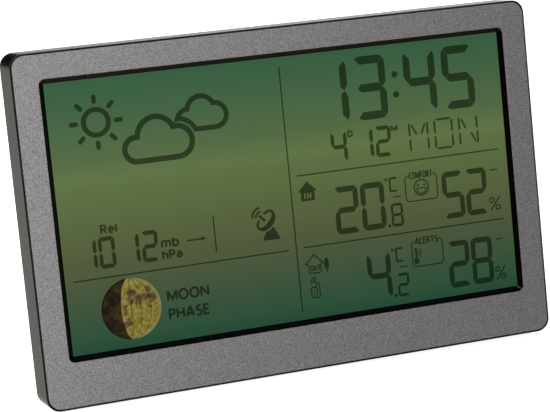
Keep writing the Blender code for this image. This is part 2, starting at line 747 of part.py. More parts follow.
def small_boards(parent):
    """Air sensor behind the vents and the alarm's sounder behind its holes."""
    board = block("air_sensor", (VENT_X - 8 * MM, VENT_X + 8 * MM), (12.4 * MM, 13.2 * MM),
                  (LOWER_Z - 6 * MM, LOWER_Z + 6 * MM), board_green(), parent)
    cap = block("cap", (VENT_X - 2 * MM, VENT_X + 2 * MM), (13 * MM, 14.2 * MM),
                (LOWER_Z - 2 * MM, LOWER_Z + 2 * MM), nickel(), parent)
    fuse(board, cap)
    brass = material("brass", (0.7, 0.5, 0.2), 0.3, 1.0)
    plate = [(BUZZER_X, y, LOWER_Z) for y in (13.2 * MM, 13.7 * MM)]
    disc = [(BUZZER_X, y, LOWER_Z) for y in (13.6 * MM, 14.1 * MM)]
    buzzer = rod("buzzer", *plate, 10 * MM, brass, parent, 24)
    fuse(buzzer, rod("disc", *disc, 7 * MM, brass, parent, 24))


def power_jack(parent):
    """Barrel socket for a mains adaptor, with its centre pin."""
    black = black_plastic()
    back = 11.6 * MM
    body_x = (JACK_X - 4.5 * MM, JACK_X + 4.5 * MM)
    body_z = (JACK_Z - 5 * MM, JACK_Z + 5 * MM)
    jack = block("power_jack", body_x, (9.8 * MM, 14.6 * MM), body_z, black, parent)

    def round_bar(start, end, radius, sides=20):
        return rod("bar", (JACK_X, start, JACK_Z), (JACK_X, end, JACK_Z), radius, black, parent, sides)

    fuse(jack, round_bar(14 * MM, BACK_Y - 0.1 * MM, JACK_RADIUS))
    carve(jack, round_bar(back, BACK_Y + 2 * MM, JACK_HOLE_RADIUS))
    fuse(jack, round_bar(back - 0.5 * MM, BACK_Y - 1 * MM, 1 * MM, 12))


def battery_wires(parent):
    """Two short leads from the battery box up to the board."""
    steps = 6
    colours = {"battery_wire_red": (0.5, 0.02, 0.02), "battery_wire_black": (0.02, 0.02, 0.02)}
    for x, (name, colour) in zip(LEAD_XS, colours.items()):
        points = []
        for step in range(steps + 1):
            share = step / steps
            z = LEAD_Z[0] + (LEAD_Z[1] - LEAD_Z[0]) * share
            y = (12.3 + 0.7 * math.sin(math.pi * share)) * MM
            points.append((x + 2.2 * MM * share**2, y, z))
        wire(name, points, 0.5 * MM, material(name, colour, 0.5), parent, 8)


# ---------------------------------------------------------------- batteries


def cell_places():
    """Height of each cell, and which way its positive end points."""
    return [(CELL_Z + (i - 1) * CELL_PITCH, 1 if i % 2 == 0 else -1) for i in range(CELL_COUNT)]


def batteries(parent):
    foil = material("battery_wrap", (0.05, 0.16, 0.1), 0.35, 0.3)
    for number, (z, way) in enumerate(cell_places(), 1):
        flat = way * (CELL_SHIFT - CELL_LENGTH / 2)
        tip = way * (CELL_SHIFT + CELL_LENGTH / 2)
        shoulder = tip - way * CELL_NUB
        ends = [(x, CELL_Y, z) for x in (flat, shoulder)]
        cell = rod(f"battery_{number}", *ends, CELL_RADIUS, foil, parent, 20)
        nub = [(x, CELL_Y, z) for x in (shoulder - way * 0.5 * MM, tip)]
        fuse(cell, rod("nub", *nub, 1.9 * MM, foil, parent, 12))


def contact_spring(x, z, way, parent):
    """A cone of wire that starts in its plate and presses on a cell's flat end."""
    turns, steps = 3.5, 12
    wide, narrow = 3.4, 2.2
    count = int(turns * steps)
    points = [(x + way * along, CELL_Y, z + wide * MM) for along in (-0.2 * MM, 0.4 * MM)]
    for k in range(1, count + 1):
        share = k / count
        radius = (wide + (narrow - wide) * share) * MM
        angle = 2 * math.pi * k / steps
        reach = x + way * (0.5 + 3.3 * share) * MM
        points.append((reach, CELL_Y + radius * math.sin(angle), z + radius * math.cos(angle)))
    return wire("spring", points, 0.3 * MM, nickel(), parent)


def battery_contacts(parent):
    """Four plates that join the three cells in a row, three of them with springs."""
    places = cell_places()
    plates = (
        ("contact_left_lower", -1, (0, 1), 0),
        ("contact_left_upper", -1, (2, 2), 2),
        ("contact_right_lower", 1, (0, 0), None),
        ("contact_right_upper", 1, (1, 2), 1),
    )
    for name, side, (first, last), sprung in plates:
        face = side * (POCKET_HALF - GAP)
        inner = side * (POCKET_HALF - GAP - 0.4 * MM)
        ys = (CELL_Y - 4.2 * MM, CELL_Y + 4.2 * MM)
        zs = (places[first][0] - 4.4 * MM, places[last][0] + 4.4 * MM)
        plate = block(name, sorted((face, inner)), ys, zs, nickel(), parent)
        if sprung is not None:
            fuse(plate, contact_spring(inner, places[sprung][0], -side, parent))


def battery_door(parent):
    """Door that slides down off the cells on two side rails, with a tongue at its upper edge."""
    paint = shell_paint()
    depth, height = DOOR_Y[1] - DOOR_Y[0], DOOR_Z[1] - DOOR_Z[0]
    profile = [(-depth, 0), (-0.8 * MM, 0), (0, 0.8 * MM), (0, height - 0.3 * MM)]
    profile += [(-0.3 * MM, height), (-depth, height)]
    door = prism("battery_door", profile, (-DOOR_HALF, DOOR_HALF), paint, parent)
    thin = (-depth, DOOR_RAIL - 0.3 * MM - depth)
    rail_z = (1.2 * MM, height - DOOR_TONGUE)
    outer = DOOR_HALF + DOOR_RAIL
    fuse(door, block("rails", (-outer, outer), thin, rail_z, paint, parent))
    tongue_z = (height - 1 * MM, height + DOOR_TONGUE)
    fuse(door, block("tongue", (-8 * MM, 8 * MM), thin, tongue_z, paint, parent))
    for rib in range(5):
        z = height - (4 + rib * 1.8) * MM
        half = (9 - 1.1 * abs(rib - 2)) * MM
        ys = (-0.45 * MM, 1 * MM)
        carve(door, block("cutter", (-half, half), ys, (z - 0.45 * MM, z + 0.45 * MM), paint, parent))
    door.location = (0, DOOR_Y[1], DOOR_Z[0])


# ---------------------------------------------------------------- stand leg


def stand_leg(parent):
    """A U-shaped leg on two moulded pins, and the rubber pad under its foot bar."""
    paint = shell_paint()
    hinge = bpy.data.objects.new("leg_hinge", None)
    bpy.context.scene.collection.objects.link(hinge)
    hinge.parent = parent
    hinge.location = (0, LEG_HINGE_Y, LEG_HINGE_Z)
    hinge.rotation_euler.x = LEG_OPEN
    thick = (-LEG_HALF_THICKNESS, LEG_HALF_THICKNESS)
    across = (-LEG_ARM_X[1], LEG_ARM_X[1])
    leg = block("stand_leg", across, thick, (LEG_END, LEG_HEEL), paint, hinge)
    inner = LEG_ARM_X[0]
    gap_z = (LEG_BAR_TOP, 20 * MM)
    carve(leg, block("cutter", (-inner, inner), (-5 * MM, 5 * MM), gap_z, paint, hinge, radius=3 * MM))
    for side in (-1, 1):
        knuckle = [(side * x, 0, 0) for x in LEG_ARM_X]
        fuse(leg, rod("knuckle", *knuckle, LEG_KNUCKLE, paint, hinge, 24))
        start = (side * (LEG_ARM_X[1] - 2 * MM), 0, 0)
        end = (side * (EAR_X[1] - 0.4 * MM), 0, 0)
        fuse(leg, rod("pin", start, end, PIN_RADIUS, paint, hinge))
    recess_x = (-FINGER_RECESS_HALF, FINGER_RECESS_HALF)
    recess_y = (LEG_HALF_THICKNESS - FINGER_RECESS, 5 * MM)
    recess_z = (LEG_END + 1.4 * MM, LEG_BAR_TOP - 1.4 * MM)
    carve(leg, block("cutter", recess_x, recess_y, recess_z, paint, hinge, radius=2 * MM))
    stand_pad(hinge)


def stand_pad(hinge):
    """Rubber strip whose underside lies flat on the table when the leg is open."""
    tilt = LEG_OPEN - LEAN
    hinge_height = LEG_HINGE_Z * math.cos(LEAN) - LEG_HINGE_Y * math.sin(LEAN) + FLOOR_DROP
    half = LEG_HALF_THICKNESS - 0.2 * MM
    top = LEG_END - GAP

    def table(y):
        return (-hinge_height - y * math.sin(tilt)) / math.cos(tilt)

    profile = [(-half, top), (half, top), (half, table(half)), (-half, table(-half))]
    prism("stand_pad", profile, (-PAD_HALF, PAD_HALF), rubber(), hinge)


# ------------------------------------------------------------------- object


def stand_on_origin(frame):
    """Moves the whole object so that the middle of its base is the origin."""
    bpy.context.view_layer.update()
    low = Vector((1, 1, 1))
    high = -low
    for obj in bpy.data.objects:
        if obj.type != "MESH":
            continue
        for vertex in obj.data.vertices:
            place = obj.matrix_world @ vertex.co
            low = Vector(map(min, low, place))
            high = Vector(map(max, high, place))
    frame.location = (-(low.x + high.x) / 2, -(low.y + high.y) / 2, -low.z)


def main():
    clear_scene()
    frame = bpy.data.objects.new("housing_frame", None)
    bpy.context.scene.collection.objects.link(frame)
    frame.rotation_euler.x = -LEAN
    rear_shell(frame)
    front_bezel(frame)
    feet(frame)
    housing_screws(frame)
    display_frame(frame)
    display_stack(frame)
    backlight_holder(frame)
    zebra_strip(frame)
    main_board(frame)
    board_parts(frame)
    keys(frame)
    radio_parts(frame)
    small_boards(frame)
    power_jack(frame)
    battery_wires(frame)
    batteries(frame)
    battery_contacts(frame)
    battery_door(frame)
    stand_leg(frame)
    stand_on_origin(frame)


main()
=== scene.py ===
"""Looks of the home weather station: finishes, the display's print, marks on the back, camera and light.

The print is laid out in the housing's own upright frame, in millimetres on the face:
    across  from the face's left edge to the right
    down    from the face's top edge towards its bottom
"""

import json
import math

import bmesh
import bpy
from mathutils import Matrix, Vector


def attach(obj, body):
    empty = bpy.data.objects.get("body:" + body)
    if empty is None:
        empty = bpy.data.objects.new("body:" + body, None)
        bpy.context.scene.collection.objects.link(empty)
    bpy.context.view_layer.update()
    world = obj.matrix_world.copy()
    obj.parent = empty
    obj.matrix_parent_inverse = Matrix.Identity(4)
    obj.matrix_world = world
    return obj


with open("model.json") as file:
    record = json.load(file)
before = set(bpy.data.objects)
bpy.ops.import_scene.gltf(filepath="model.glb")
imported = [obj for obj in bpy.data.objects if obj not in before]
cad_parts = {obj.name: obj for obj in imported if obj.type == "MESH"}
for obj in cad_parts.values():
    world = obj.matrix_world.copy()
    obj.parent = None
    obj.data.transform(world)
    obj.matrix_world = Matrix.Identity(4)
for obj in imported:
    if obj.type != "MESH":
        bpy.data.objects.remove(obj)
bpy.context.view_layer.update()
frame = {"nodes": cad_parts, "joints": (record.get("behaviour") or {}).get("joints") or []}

MM = 0.001

# ---- housing's frame ---------

JOINTS = {joint["name"]: joint for joint in frame["joints"]}
UP = -Vector(JOINTS["door_slide"]["axis"]).normalized()
BACK = -Vector(JOINTS["set_press"]["axis"]).normalized()
RIGHT = Vector((1, 0, 0))


def reach(node, direction, pick):
    """How far a CAD node's points go along a direction, in metres."""
    return pick(vertex.co.dot(direction) for vertex in frame["nodes"][node].data.vertices)


FACE_Y = reach("front_bezel", BACK, min)
GLASS_Y = reach("lcd_front_glass", BACK, min) - FACE_Y
HOUSING = Matrix.Identity(4)
for row in range(3):
    HOUSING[row][:3] = (RIGHT[row], BACK[row], UP[row])
HOUSING.translation = BACK * FACE_Y + UP * reach("rear_shell", UP, min)

# Across and down are counted from a corner this far outside the face plate's own
EDGE = 0.22
FACE_LEFT = reach("front_bezel", RIGHT, min) / MM - EDGE
FACE_TOP = (reach("front_bezel", UP, max) - reach("rear_shell", UP, min)) / MM + EDGE


def on_face(across, down):
    """A place on the face as (x, z) in the housing's frame, in metres."""
    return ((FACE_LEFT + across) * MM, (FACE_TOP - down) * MM)


def added(name, data):
    """A new object in the scene that holds this data."""
    made = bpy.data.objects.new(name, data)
    bpy.context.scene.collection.objects.link(made)
    return made


# ---- camera ------------------

CAMERA_AZIMUTH = math.radians(-20.22)
CAMERA_HEIGHT = math.radians(22.34)
CAMERA_DISTANCE = 0.7445
CAMERA_LENS = 131.83
# In the housing's frame
CAMERA_AIM = Vector((-7.4 * MM, 0, 63.16 * MM))


def make_camera():
    """A long lens from the front left, aimed a little left of the face's middle."""
    data = bpy.data.cameras.new("camera")
    data.lens = CAMERA_LENS
    data.sensor_width = 36
    data.clip_start = 0.01
    camera = added("camera", data)
    towards = Vector((
        math.sin(CAMERA_AZIMUTH) * math.cos(CAMERA_HEIGHT),
        -math.cos(CAMERA_AZIMUTH) * math.cos(CAMERA_HEIGHT),
        math.sin(CAMERA_HEIGHT),
    ))
    camera.location = HOUSING @ CAMERA_AIM + towards * CAMERA_DISTANCE
    camera.rotation_euler = (-towards).to_track_quat("-Z", "Y").to_euler()
    bpy.context.scene.camera = camera


# ---- node helpers ------------


class Nodes:
    """A node tree, with short calls for the nodes it needs."""

    def __init__(self, tree):
        self.tree = tree

    def feed(self, socket, value):
        """Puts a value or another node's output on a socket."""
        if isinstance(value, bpy.types.NodeSocket):
            self.tree.links.new(value, socket)
        elif isinstance(value, tuple) and len(value) == 3 and socket.type == "RGBA":
            socket.default_value = (*value, 1)
        else:
            socket.default_value = value

    def node(self, kind, inputs, output=0, **settings):
        """Adds a node, sets its inputs by name or number, and gives one output."""
        made = self.tree.nodes.new("ShaderNode" + kind)
        for key, value in settings.items():
            setattr(made, key, value)
        for key, value in inputs.items():
            self.feed(made.inputs[key], value)
        return made.outputs[output]

    def split(self, vector):
        parts = self.tree.nodes.new("ShaderNodeSeparateXYZ")
        self.feed(parts.inputs[0], vector)
        return parts.outputs

    def math(self, operation, one, two=0.0):
        return self.node("Math", {0: one, 1: two}, operation=operation)

    def vector_math(self, operation, one, two, output=0):
        return self.node("VectorMath", {0: one, 1: two}, output, operation=operation)

    def noise(self, vector, scale, detail=2.0, roughness=0.5, output=0):
        """Noise whose lumps are about 1 / scale metres across, from 0 to 1."""
        inputs = {"Vector": vector, "Scale": scale, "Detail": detail, "Roughness": roughness}
        return self.node("TexNoise", inputs, output)

    def stretch(self, vector, scale):
        return self.node("Mapping", {"Vector": vector, "Scale": scale})

    def ramp(self, factor, stops):
        """A colour ramp from (position, colour) pairs."""
        made = self.tree.nodes.new("ShaderNodeValToRGB")
        elements = made.color_ramp.elements
        while len(elements) < len(stops):
            elements.new(0.5)
        for element, (position, colour) in zip(elements, stops):
            element.position = position
            element.color = (*colour, 1)
        self.feed(made.inputs[0], factor)
        return made.outputs[0]

    def between(self, noise, dark, bright):
        """A colour that wanders from dark to bright with a noise."""
        return self.ramp(noise, [(0.3, dark), (0.7, bright)])

    def mix(self, factor, one, two, blend="MIX"):
        made = self.tree.nodes.new("ShaderNodeMix")
        made.data_type = "RGBA"
        made.blend_type = blend
        self.feed(made.inputs[0], factor)
        self.feed(made.inputs[6], one)
        self.feed(made.inputs[7], two)
        return made.outputs[2]

    def times(self, one, two):
        """One colour multiplied by another."""
        return self.mix(1.0, one, two, "MULTIPLY")

    def spread(self, value, low, high, start=0.0, end=1.0):
        """Maps start to end onto low to high."""
        inputs = {"Value": value, "From Min": start, "From Max": end, "To Min": low, "To Max": high}
        return self.node("MapRange", inputs)

    def fade(self, value, start, end):
        """Rises smoothly from 0 at start to 1 at end."""
        inputs = {"Value": value, "From Min": start, "From Max": end}
        return self.node("MapRange", inputs, interpolation_type="SMOOTHSTEP")


class Paint(Nodes):
    """A material under construction."""

    def __init__(self, name, roughness=0.5, metallic=0.0, specular=0.5):
        self.material = bpy.data.materials.new(name)
        self.material.use_nodes = True
        super().__init__(self.material.node_tree)
        self.shader = self.tree.nodes["Principled BSDF"]
        self.set("Roughness", roughness)
        self.set("Metallic", metallic)
        self.set("Specular IOR Level", specular)

    def set(self, socket, value):
        """A value or another node's output on one of the shader's sockets."""
        self.feed(self.shader.inputs[socket], value)

    def place(self):
        """Coordinates that stay on the piece, in metres."""
        return self.node("TexCoord", {}, "Object")

    def upright(self):
        """The same, turned into the housing's own frame, for the CAD's pieces."""
        inverse = HOUSING.inverted()
        return self.node("Mapping", {
            "Vector": self.place(),
            "Location": tuple(inverse.translation),
            "Rotation": tuple(inverse.to_euler()),
        })

    def bump(self, height, depth):
        """Relief of a depth in metres."""
        self.set("Normal", self.node("Bump", {"Height": height, "Distance": depth, "Strength": 1.0}))

    def finish(self, grain, dark, bright, smooth, rough):
        """Colour and roughness that follow one grain."""
        self.set("Base Color", self.between(grain, dark, bright))
        self.set("Roughness", self.spread(grain, smooth, rough))

    def glow(self, colour, strength):
        self.set("Emission Color", colour)
        self.set("Emission Strength", strength)

    def lit(self, colour):
        """A colour lit from behind, which daylight shows a little too."""
        self.set("Base Color", self.times(colour, grey(DAYLIGHT)))
        self.glow(colour, GLOW)


def grey(value):
    return (value, value, value)


# ---- materials ---------------


def bezel_paint():
    """Metallic anthracite lacquer with fine bright flake."""
    paint = Paint("bezel_paint", metallic=0.5)
    place = paint.place()
    fine = paint.noise(place, 4000, 0)
    middle = paint.noise(place, 2000, 1)
    grain = paint.math("ADD", paint.math("MULTIPLY", fine, 0.7), paint.math("MULTIPLY", middle, 0.3))
    flake = [(0.36, (0.112, 0.109, 0.111)), (0.5, (0.172, 0.168, 0.171)), (0.64, (0.275, 0.270, 0.275))]
    paint.set("Base Color", paint.ramp(grain, flake))
    paint.set("Roughness", paint.spread(middle, 0.40, 0.56))
    paint.bump(grain, 0.08 * MM)
    return paint.material


def shell_paint():
    """Satin black plastic with a fine moulded grain."""
    paint = Paint("shell_paint", specular=0.45)
    paint.set("Specular Tint", (1.0, 0.97, 0.93))
    place = paint.place()
    cloud = paint.noise(place, 60, 3)
    grain = paint.noise(place, 2200, 2)
    paint.set("Base Color", paint.between(cloud, (0.006, 0.0052, 0.004), (0.009, 0.008, 0.006)))
    paint.set("Roughness", paint.spread(grain, 0.16, 0.24))
    paint.bump(grain, 0.01 * MM)
    return paint.material


def back_paint():
    """The leg's and the door's plastic, with a rougher grain."""
    paint = Paint("back_paint", specular=0.45)
    place = paint.place()
    cloud = paint.noise(place, 45, 3)
    grain = paint.noise(place, 1700, 3, 0.6)
    paint.set("Base Color", paint.between(cloud, (0.024, 0.024, 0.023), (0.034, 0.034, 0.032)))
    paint.set("Roughness", paint.spread(grain, 0.42, 0.62))
    paint.bump(grain, 0.04 * MM)
    return paint.material


# Where the frame's top strip ends, in millimetres down the face; above it the frame carries painted light
FRAME_TOP_END = 10.85


def trim_black():
    """Polished black frame round the display, its top strip painted a lighter brownish colour: painted
    light, the table's light reflected onto it.
    """
    paint = Paint("trim_black", specular=0.03)
    vector = paint.upright()
    haze = paint.noise(vector, 240, 3)
    end = (FACE_TOP - FRAME_TOP_END) * MM
    # Painted light: above this height the frame gets a lighter brownish colour, as if lit from the table
    # below
    painted_light_top = paint.math("GREATER_THAN", paint.split(vector)[2], end)
    black = paint.between(haze, (0.0010, 0.0009, 0.0009), (0.0022, 0.0019, 0.0018))
    painted_lit_brown = paint.between(haze, (0.0095, 0.0075, 0.0062), (0.0150, 0.0115, 0.0095))
    paint.set("Base Color", paint.mix(painted_light_top, black, painted_lit_brown))
    paint.set("Roughness", paint.spread(haze, 0.16, 0.26))
    return paint.material


# Light through the display from its top to its bottom, as millimetres down the face and colour
BACKLIGHT = (
    (9, (0.041, 0.112, 0.052)),
    (14, (0.044, 0.122, 0.056)),
    (20, (0.053, 0.126, 0.058)),
    (30, (0.073, 0.144, 0.062)),
    (40, (0.094, 0.157, 0.060)),
    (47, (0.127, 0.184, 0.067)),
    (51, (0.116, 0.172, 0.060)),
    (60, (0.106, 0.152, 0.055)),
    (72, (0.096, 0.124, 0.049)),
    (80, (0.084, 0.106, 0.046)),
    (86, (0.068, 0.100, 0.047)),
    (98, (0.041, 0.089, 0.045)),
    (105, (0.026, 0.084, 0.044)),
    (112, (0.014, 0.068, 0.036)),
)
GLOW = 0.80
DAYLIGHT = 0.10


def backlight(paint, vector):
    """The backlight's colour at a height on the face, with faint level streaks from the light guide."""
    first, last = BACKLIGHT[0][0], BACKLIGHT[-1][0]
    height = paint.split(vector)[2]
    down = paint.spread(height, 0.0, 1.0, (FACE_TOP - first) * MM, (FACE_TOP - last) * MM)
    colour = paint.ramp(down, [((row - first) / (last - first), colour) for row, colour in BACKLIGHT])
    streaks = paint.noise(paint.stretch(vector, (0.02, 1, 1)), 240, 2)
    return paint.times(colour, paint.between(streaks, grey(0.98), grey(1.02)))


def display_picture():
    """The lit display between its segments."""
    paint = Paint("display_picture", roughness=0.32, specular=0.12)
    vector = paint.upright()
    paint.lit(backlight(paint, vector))
    paint.bump(paint.noise(vector, 3200, 1), 0.004 * MM)
    return paint.material


def segment_ink():
    """Driven segments: the backlight shows faintly through them."""
    paint = Paint("segment_ink", roughness=0.34, specular=0.12)
    vector = paint.place()
    colour = paint.times(backlight(paint, vector), (0.25, 0.272, 0.215))
    mottle = paint.between(paint.noise(vector, 900, 2), grey(0.92), grey(1.06))
    paint.lit(paint.times(colour, mottle))
    return paint.material


# Dark plains on the moon's printed disc, as across, down and radius on the face
MARIA = (
    (34.7, 90.8, 1.7),
    (36.3, 90.1, 1.3),
    (37.6, 92.6, 1.8),
    (39.4, 92.0, 1.4),
    (41.3, 91.7, 1.3),
    (43.2, 92.7, 1.6),
    (41.9, 89.0, 1.2),
    (32.5, 94.8, 1.2),
    (32.4, 96.6, 0.9),
    (32.9, 100.7, 1.7),
    (41.6, 95.9, 0.8),
    (34.9, 93.3, 0.9),
    (28.4, 91.5, 3.2),
    (25.6, 94.8, 2.0),
    (26.8, 100.2, 2.8),
    (30.3, 102.0, 1.8),
)
MOON = (34.65, 95.5)
MOON_RADIUS = 11.3


def moon_print(name, shade, rim):
    """The moon's disc: yellow highlands, purplish plains and a rim, multiplied by a shade."""
    paint = Paint(name, roughness=0.34, specular=0.12)
    vector = paint.place()
    flat = paint.vector_math("MULTIPLY", vector, (1, 0, 1))
    wander = paint.noise(vector, 520, 4, 0.7, "Color")
    wander = paint.vector_math("SUBTRACT", wander, (0.5, 0.5, 0.5))
    wander = paint.vector_math("MULTIPLY", wander, (4.5 * MM, 0, 4.5 * MM))
    moved = paint.vector_math("ADD", flat, wander)
    plains = 0.0
    for across, down, radius in MARIA:
        x, z = on_face(across, down)
        far = paint.vector_math("DISTANCE", moved, (x, 0, z), "Value")
        inside = paint.fade(far, radius * 1.2 * MM, radius * 0.6 * MM)
        plains = paint.math("MAXIMUM", inside, plains)
    grain = paint.noise(vector, 620, 3, 0.55)
    highlands = [(0.30, (0.128, 0.102, 0.018)), (0.5, (0.218, 0.183, 0.029)), (0.70, (0.315, 0.272, 0.078))]
    land = paint.ramp(grain, highlands)
    plain = paint.ramp(grain, [(0.35, (0.040, 0.014, 0.016)), (0.65, (0.115, 0.056, 0.042))])
    colour = paint.mix(paint.math("MULTIPLY", plains, 0.82), land, plain)
    x, z = on_face(*MOON)
    out = paint.vector_math("DISTANCE", flat, (x, 0, z), "Value")
    edge = paint.fade(out, MOON_RADIUS * 0.84 * MM, MOON_RADIUS * 0.98 * MM)
    colour = paint.mix(paint.math("MULTIPLY", edge, 0.7), colour, rim)
    paint.lit(paint.times(colour, shade))
    return paint.material


def rubber():
    paint = Paint("rubber_black", specular=0.3)
    grain = paint.noise(paint.place(), 1500, 3)
    paint.finish(grain, grey(0.012), grey(0.024), 0.75, 0.95)
    paint.bump(grain, 0.05 * MM)
    return paint.material


def key_plastic():
    paint = Paint("key_plastic", specular=0.45)
    grain = paint.noise(paint.place(), 1900, 2)
    paint.finish(grain, grey(0.020), grey(0.030), 0.38, 0.55)
    paint.bump(grain, 0.03 * MM)
    return paint.material


def mark_print():
    """Pale grey ink of the marks on the back."""
    paint = Paint("mark_print", specular=0.3)
    paint.finish(paint.noise(paint.place(), 2400, 2), grey(0.42), grey(0.52), 0.5, 0.7)
    return paint.material


def metal(name, dark, bright, rough, stretch=(1, 1, 1)):
    """Bare metal with fine drawn lines."""
    paint = Paint(name, metallic=1.0)
    lines = paint.noise(paint.stretch(paint.place(), stretch), 1400, 3)
    paint.finish(lines, dark, bright, rough - 0.07, rough + 0.08)
    paint.bump(lines, 0.006 * MM)
    return paint.material


def plastic(name, dark, bright, rough, scale=300, specular=0.4):
    """Moulded plastic, sleeve or lacquer with a little cloud in its colour."""
    paint = Paint(name, specular=specular)
    cloud = paint.noise(paint.place(), scale, 3)
    paint.finish(cloud, dark, bright, rough - 0.06, rough + 0.08)
    paint.bump(cloud, 0.01 * MM)
    return paint.material


def circuit_board():
    """Green lacquer over copper tracks."""
    paint = Paint("circuit_board")
    vector = paint.upright()
    tracks = paint.node("TexBrick", {
        "Vector": paint.node("Mapping", {"Vector": vector, "Rotation": (math.radians(90), 0, 0)}),
        "Scale": 260.0,
        "Mortar Size": 0.012,
        "Color1": (0.012, 0.115, 0.040),
        "Color2": (0.010, 0.090, 0.032),
        "Mortar": (0.055, 0.200, 0.070),
    }, "Color")
    paint.set("Base Color", tracks)
    paint.set("Roughness", paint.spread(paint.noise(vector, 500), 0.25, 0.4))
    return paint.material


# From a cell's middle to its gold band and to its bare end
GOLD_FROM = 10.5 * MM
BARE_FROM = 22.4 * MM


def battery_sleeve():
    """Printed sleeve with a gold band at the positive end, and bare metal beyond both ends."""
    paint = Paint("battery_sleeve")
    vector = paint.upright()
    x, _, z = paint.split(vector)
    low_cell = reach("battery_1", UP, min)
    pitch = reach("battery_2", UP, min) - low_cell
    base = low_cell - HOUSING.translation.dot(UP)
    order = paint.math("FLOOR", paint.math("DIVIDE", paint.math("SUBTRACT", z, base), pitch))
    odd = paint.math("MODULO", paint.math("ABSOLUTE", order), 2.0)
    way = paint.math("SUBTRACT", 1.0, paint.math("MULTIPLY", odd, 2.0))
    along = paint.math("MULTIPLY", x, way)
    gold = paint.math("GREATER_THAN", along, GOLD_FROM)
    bare = paint.math("GREATER_THAN", paint.math("ABSOLUTE", along), BARE_FROM)
    scuff = paint.noise(vector, 420, 3)
    green = paint.between(scuff, (0.010, 0.075, 0.040), (0.016, 0.105, 0.058))
    band = paint.between(scuff, (0.42, 0.26, 0.07), (0.52, 0.34, 0.11))
    steel = paint.between(scuff, grey(0.5), grey(0.62))
    paint.set("Base Color", paint.mix(bare, paint.mix(gold, green, band), steel))
    paint.set("Metallic", paint.math("MAXIMUM", paint.math("MULTIPLY", gold, 0.7), bare))
    paint.set("Roughness", paint.spread(scuff, 0.26, 0.4))
    return paint.material


def dress_cad_nodes():
    """Gives every piece of the CAD its finish."""
    steel = metal("steel", grey(0.42), grey(0.60), 0.32)
    nickel = metal("nickel", (0.55, 0.53, 0.48), (0.72, 0.70, 0.64), 0.26)
    black = plastic("moulded_black", grey(0.014), grey(0.026), 0.42)
    white = plastic("moulded_white", grey(0.72), grey(0.82), 0.45)
    board = circuit_board()
    picture = display_picture()
    back = back_paint()
    foot = rubber()
    looks = {
        "front_bezel": bezel_paint(),
        "rear_shell": shell_paint(),
        "display_frame": trim_black(),
        "lcd_front_glass": picture,
        "lcd_rear_glass": plastic("rear_glass", (0.50, 0.60, 0.55), (0.58, 0.68, 0.62), 0.1),
        "colour_film": picture,
        "light_guide": plastic("acrylic_sheet", (0.80, 0.85, 0.85), (0.88, 0.92, 0.92), 0.12),
        "reflector_sheet": white,
        "backlight_holder": white,
        "zebra_strip": plastic("silicone_grey", grey(0.10), grey(0.20), 0.6, 2500),
        "stand_leg": back,
        "battery_door": back,
        "antenna_coil": metal("wound_copper", (0.35, 0.10, 0.04), (0.66, 0.25, 0.10), 0.34, (3, 0.1, 0.1)),
        "radio_antenna": metal("copper_wire", (0.45, 0.14, 0.05), (0.66, 0.25, 0.10), 0.3),
        "ferrite_rod": plastic("ferrite_grey", grey(0.020), grey(0.038), 0.6, 900),
        "capacitor": plastic("blue_sleeve", (0.012, 0.03, 0.11), (0.02, 0.045, 0.15), 0.35),
        "battery_wire_red": plastic("red_sleeve", (0.30, 0.010, 0.010), (0.42, 0.018, 0.015), 0.45),
        "battery_wire_black": plastic("black_sleeve", grey(0.010), grey(0.018), 0.45),
        "buzzer": metal("brass_sheet", (0.55, 0.38, 0.14), (0.72, 0.53, 0.24), 0.28),
        "pressure_sensor": nickel,
        "quartz_crystal": nickel,
        "controller_chip": black,
        "power_jack": black,
        "main_board": board,
        "radio_module": board,
        "air_sensor": board,
    }
    families = {
        "housing_screw_": steel,
        "board_screw_": steel,
        "battery_": battery_sleeve(),
        "contact_": nickel,
        "key_": key_plastic(),
        "led_bar_": board,
        "switch_": black,
        "foot_": foot,
        "stand_pad": foot,
    }
    for name, node in frame["nodes"].items():
        look = looks.get(name)
        if look is None:
            look = next(paint for start, paint in families.items() if name.startswith(start))
        for slot in node.material_slots:
            slot.material = look
        if not node.material_slots:
            node.data.materials.append(look)


# ---- flat shapes -------------

# A film's thickness, and the gap between it and what it lies on
FILM = 0.04 * MM
ON_GLASS = 0.02 * MM


def arc(centre, radius, start, end, steps=12):
    """Points on an arc, with angles in degrees from the right, counted upwards."""
    points = []
    for step in range(steps + 1):
        angle = math.radians(start + (end - start) * step / steps)
        points.append((centre[0] + radius * math.cos(angle), centre[1] - radius * math.sin(angle)))
    return points


def circle(centre, radius, steps=36):
    return arc(centre, radius, 0, 360, steps)[:-1]


def box(x0, y0, x1, y1):
    """A rectangle from its upper left corner to its lower right one."""
    return [(x0, y0), (x1, y0), (x1, y1), (x0, y1)]


def round_corners(x0, y0, x1, y1, radius):
    """A box's four rounded corners, from the upper right one round by the left."""
    left, right, top, bottom = x0 + radius, x1 - radius, y0 + radius, y1 - radius
    centres = ((right, top), (left, top), (left, bottom), (right, bottom))
    return [arc(centre, radius, 90 * i, 90 * i + 90, 6) for i, centre in enumerate(centres)]


# A corner sharper than this cosine gets a shorter mitre
MITRE_LIMIT = 0.4


def edges(points, width, closed):
    """Two lines of points, half a width to either side of a path, with mitred corners."""
    sides = ([], [])
    count = len(points)
    for i, point in enumerate(points):
        here = Vector(point)
        before = Vector(points[i - 1]) if closed or i else None
        after = Vector(points[(i + 1) % count]) if closed or i < count - 1 else None
        ahead = (after - here if after else here - before).normalized()
        behind = (here - before if before else after - here).normalized()
        normal_a = Vector((-ahead.y, ahead.x))
        normal_b = Vector((-behind.y, behind.x))
        middle = (normal_a + normal_b).normalized()
        far = width / 2 / max(middle.dot(normal_a), MITRE_LIMIT)
        for side, sign in zip(sides, (1, -1)):
            side.append(tuple(here + middle * far * sign))
    return sides


def band(points, width):
    """An open path as an outline with square ends."""
    one, two = edges(points, width, closed=False)
    return one + two[::-1]


def loop(points, width):
    """A closed path as two outlines, the outer and the inner edge of its stroke."""
    return list(edges(points, width, closed=True))


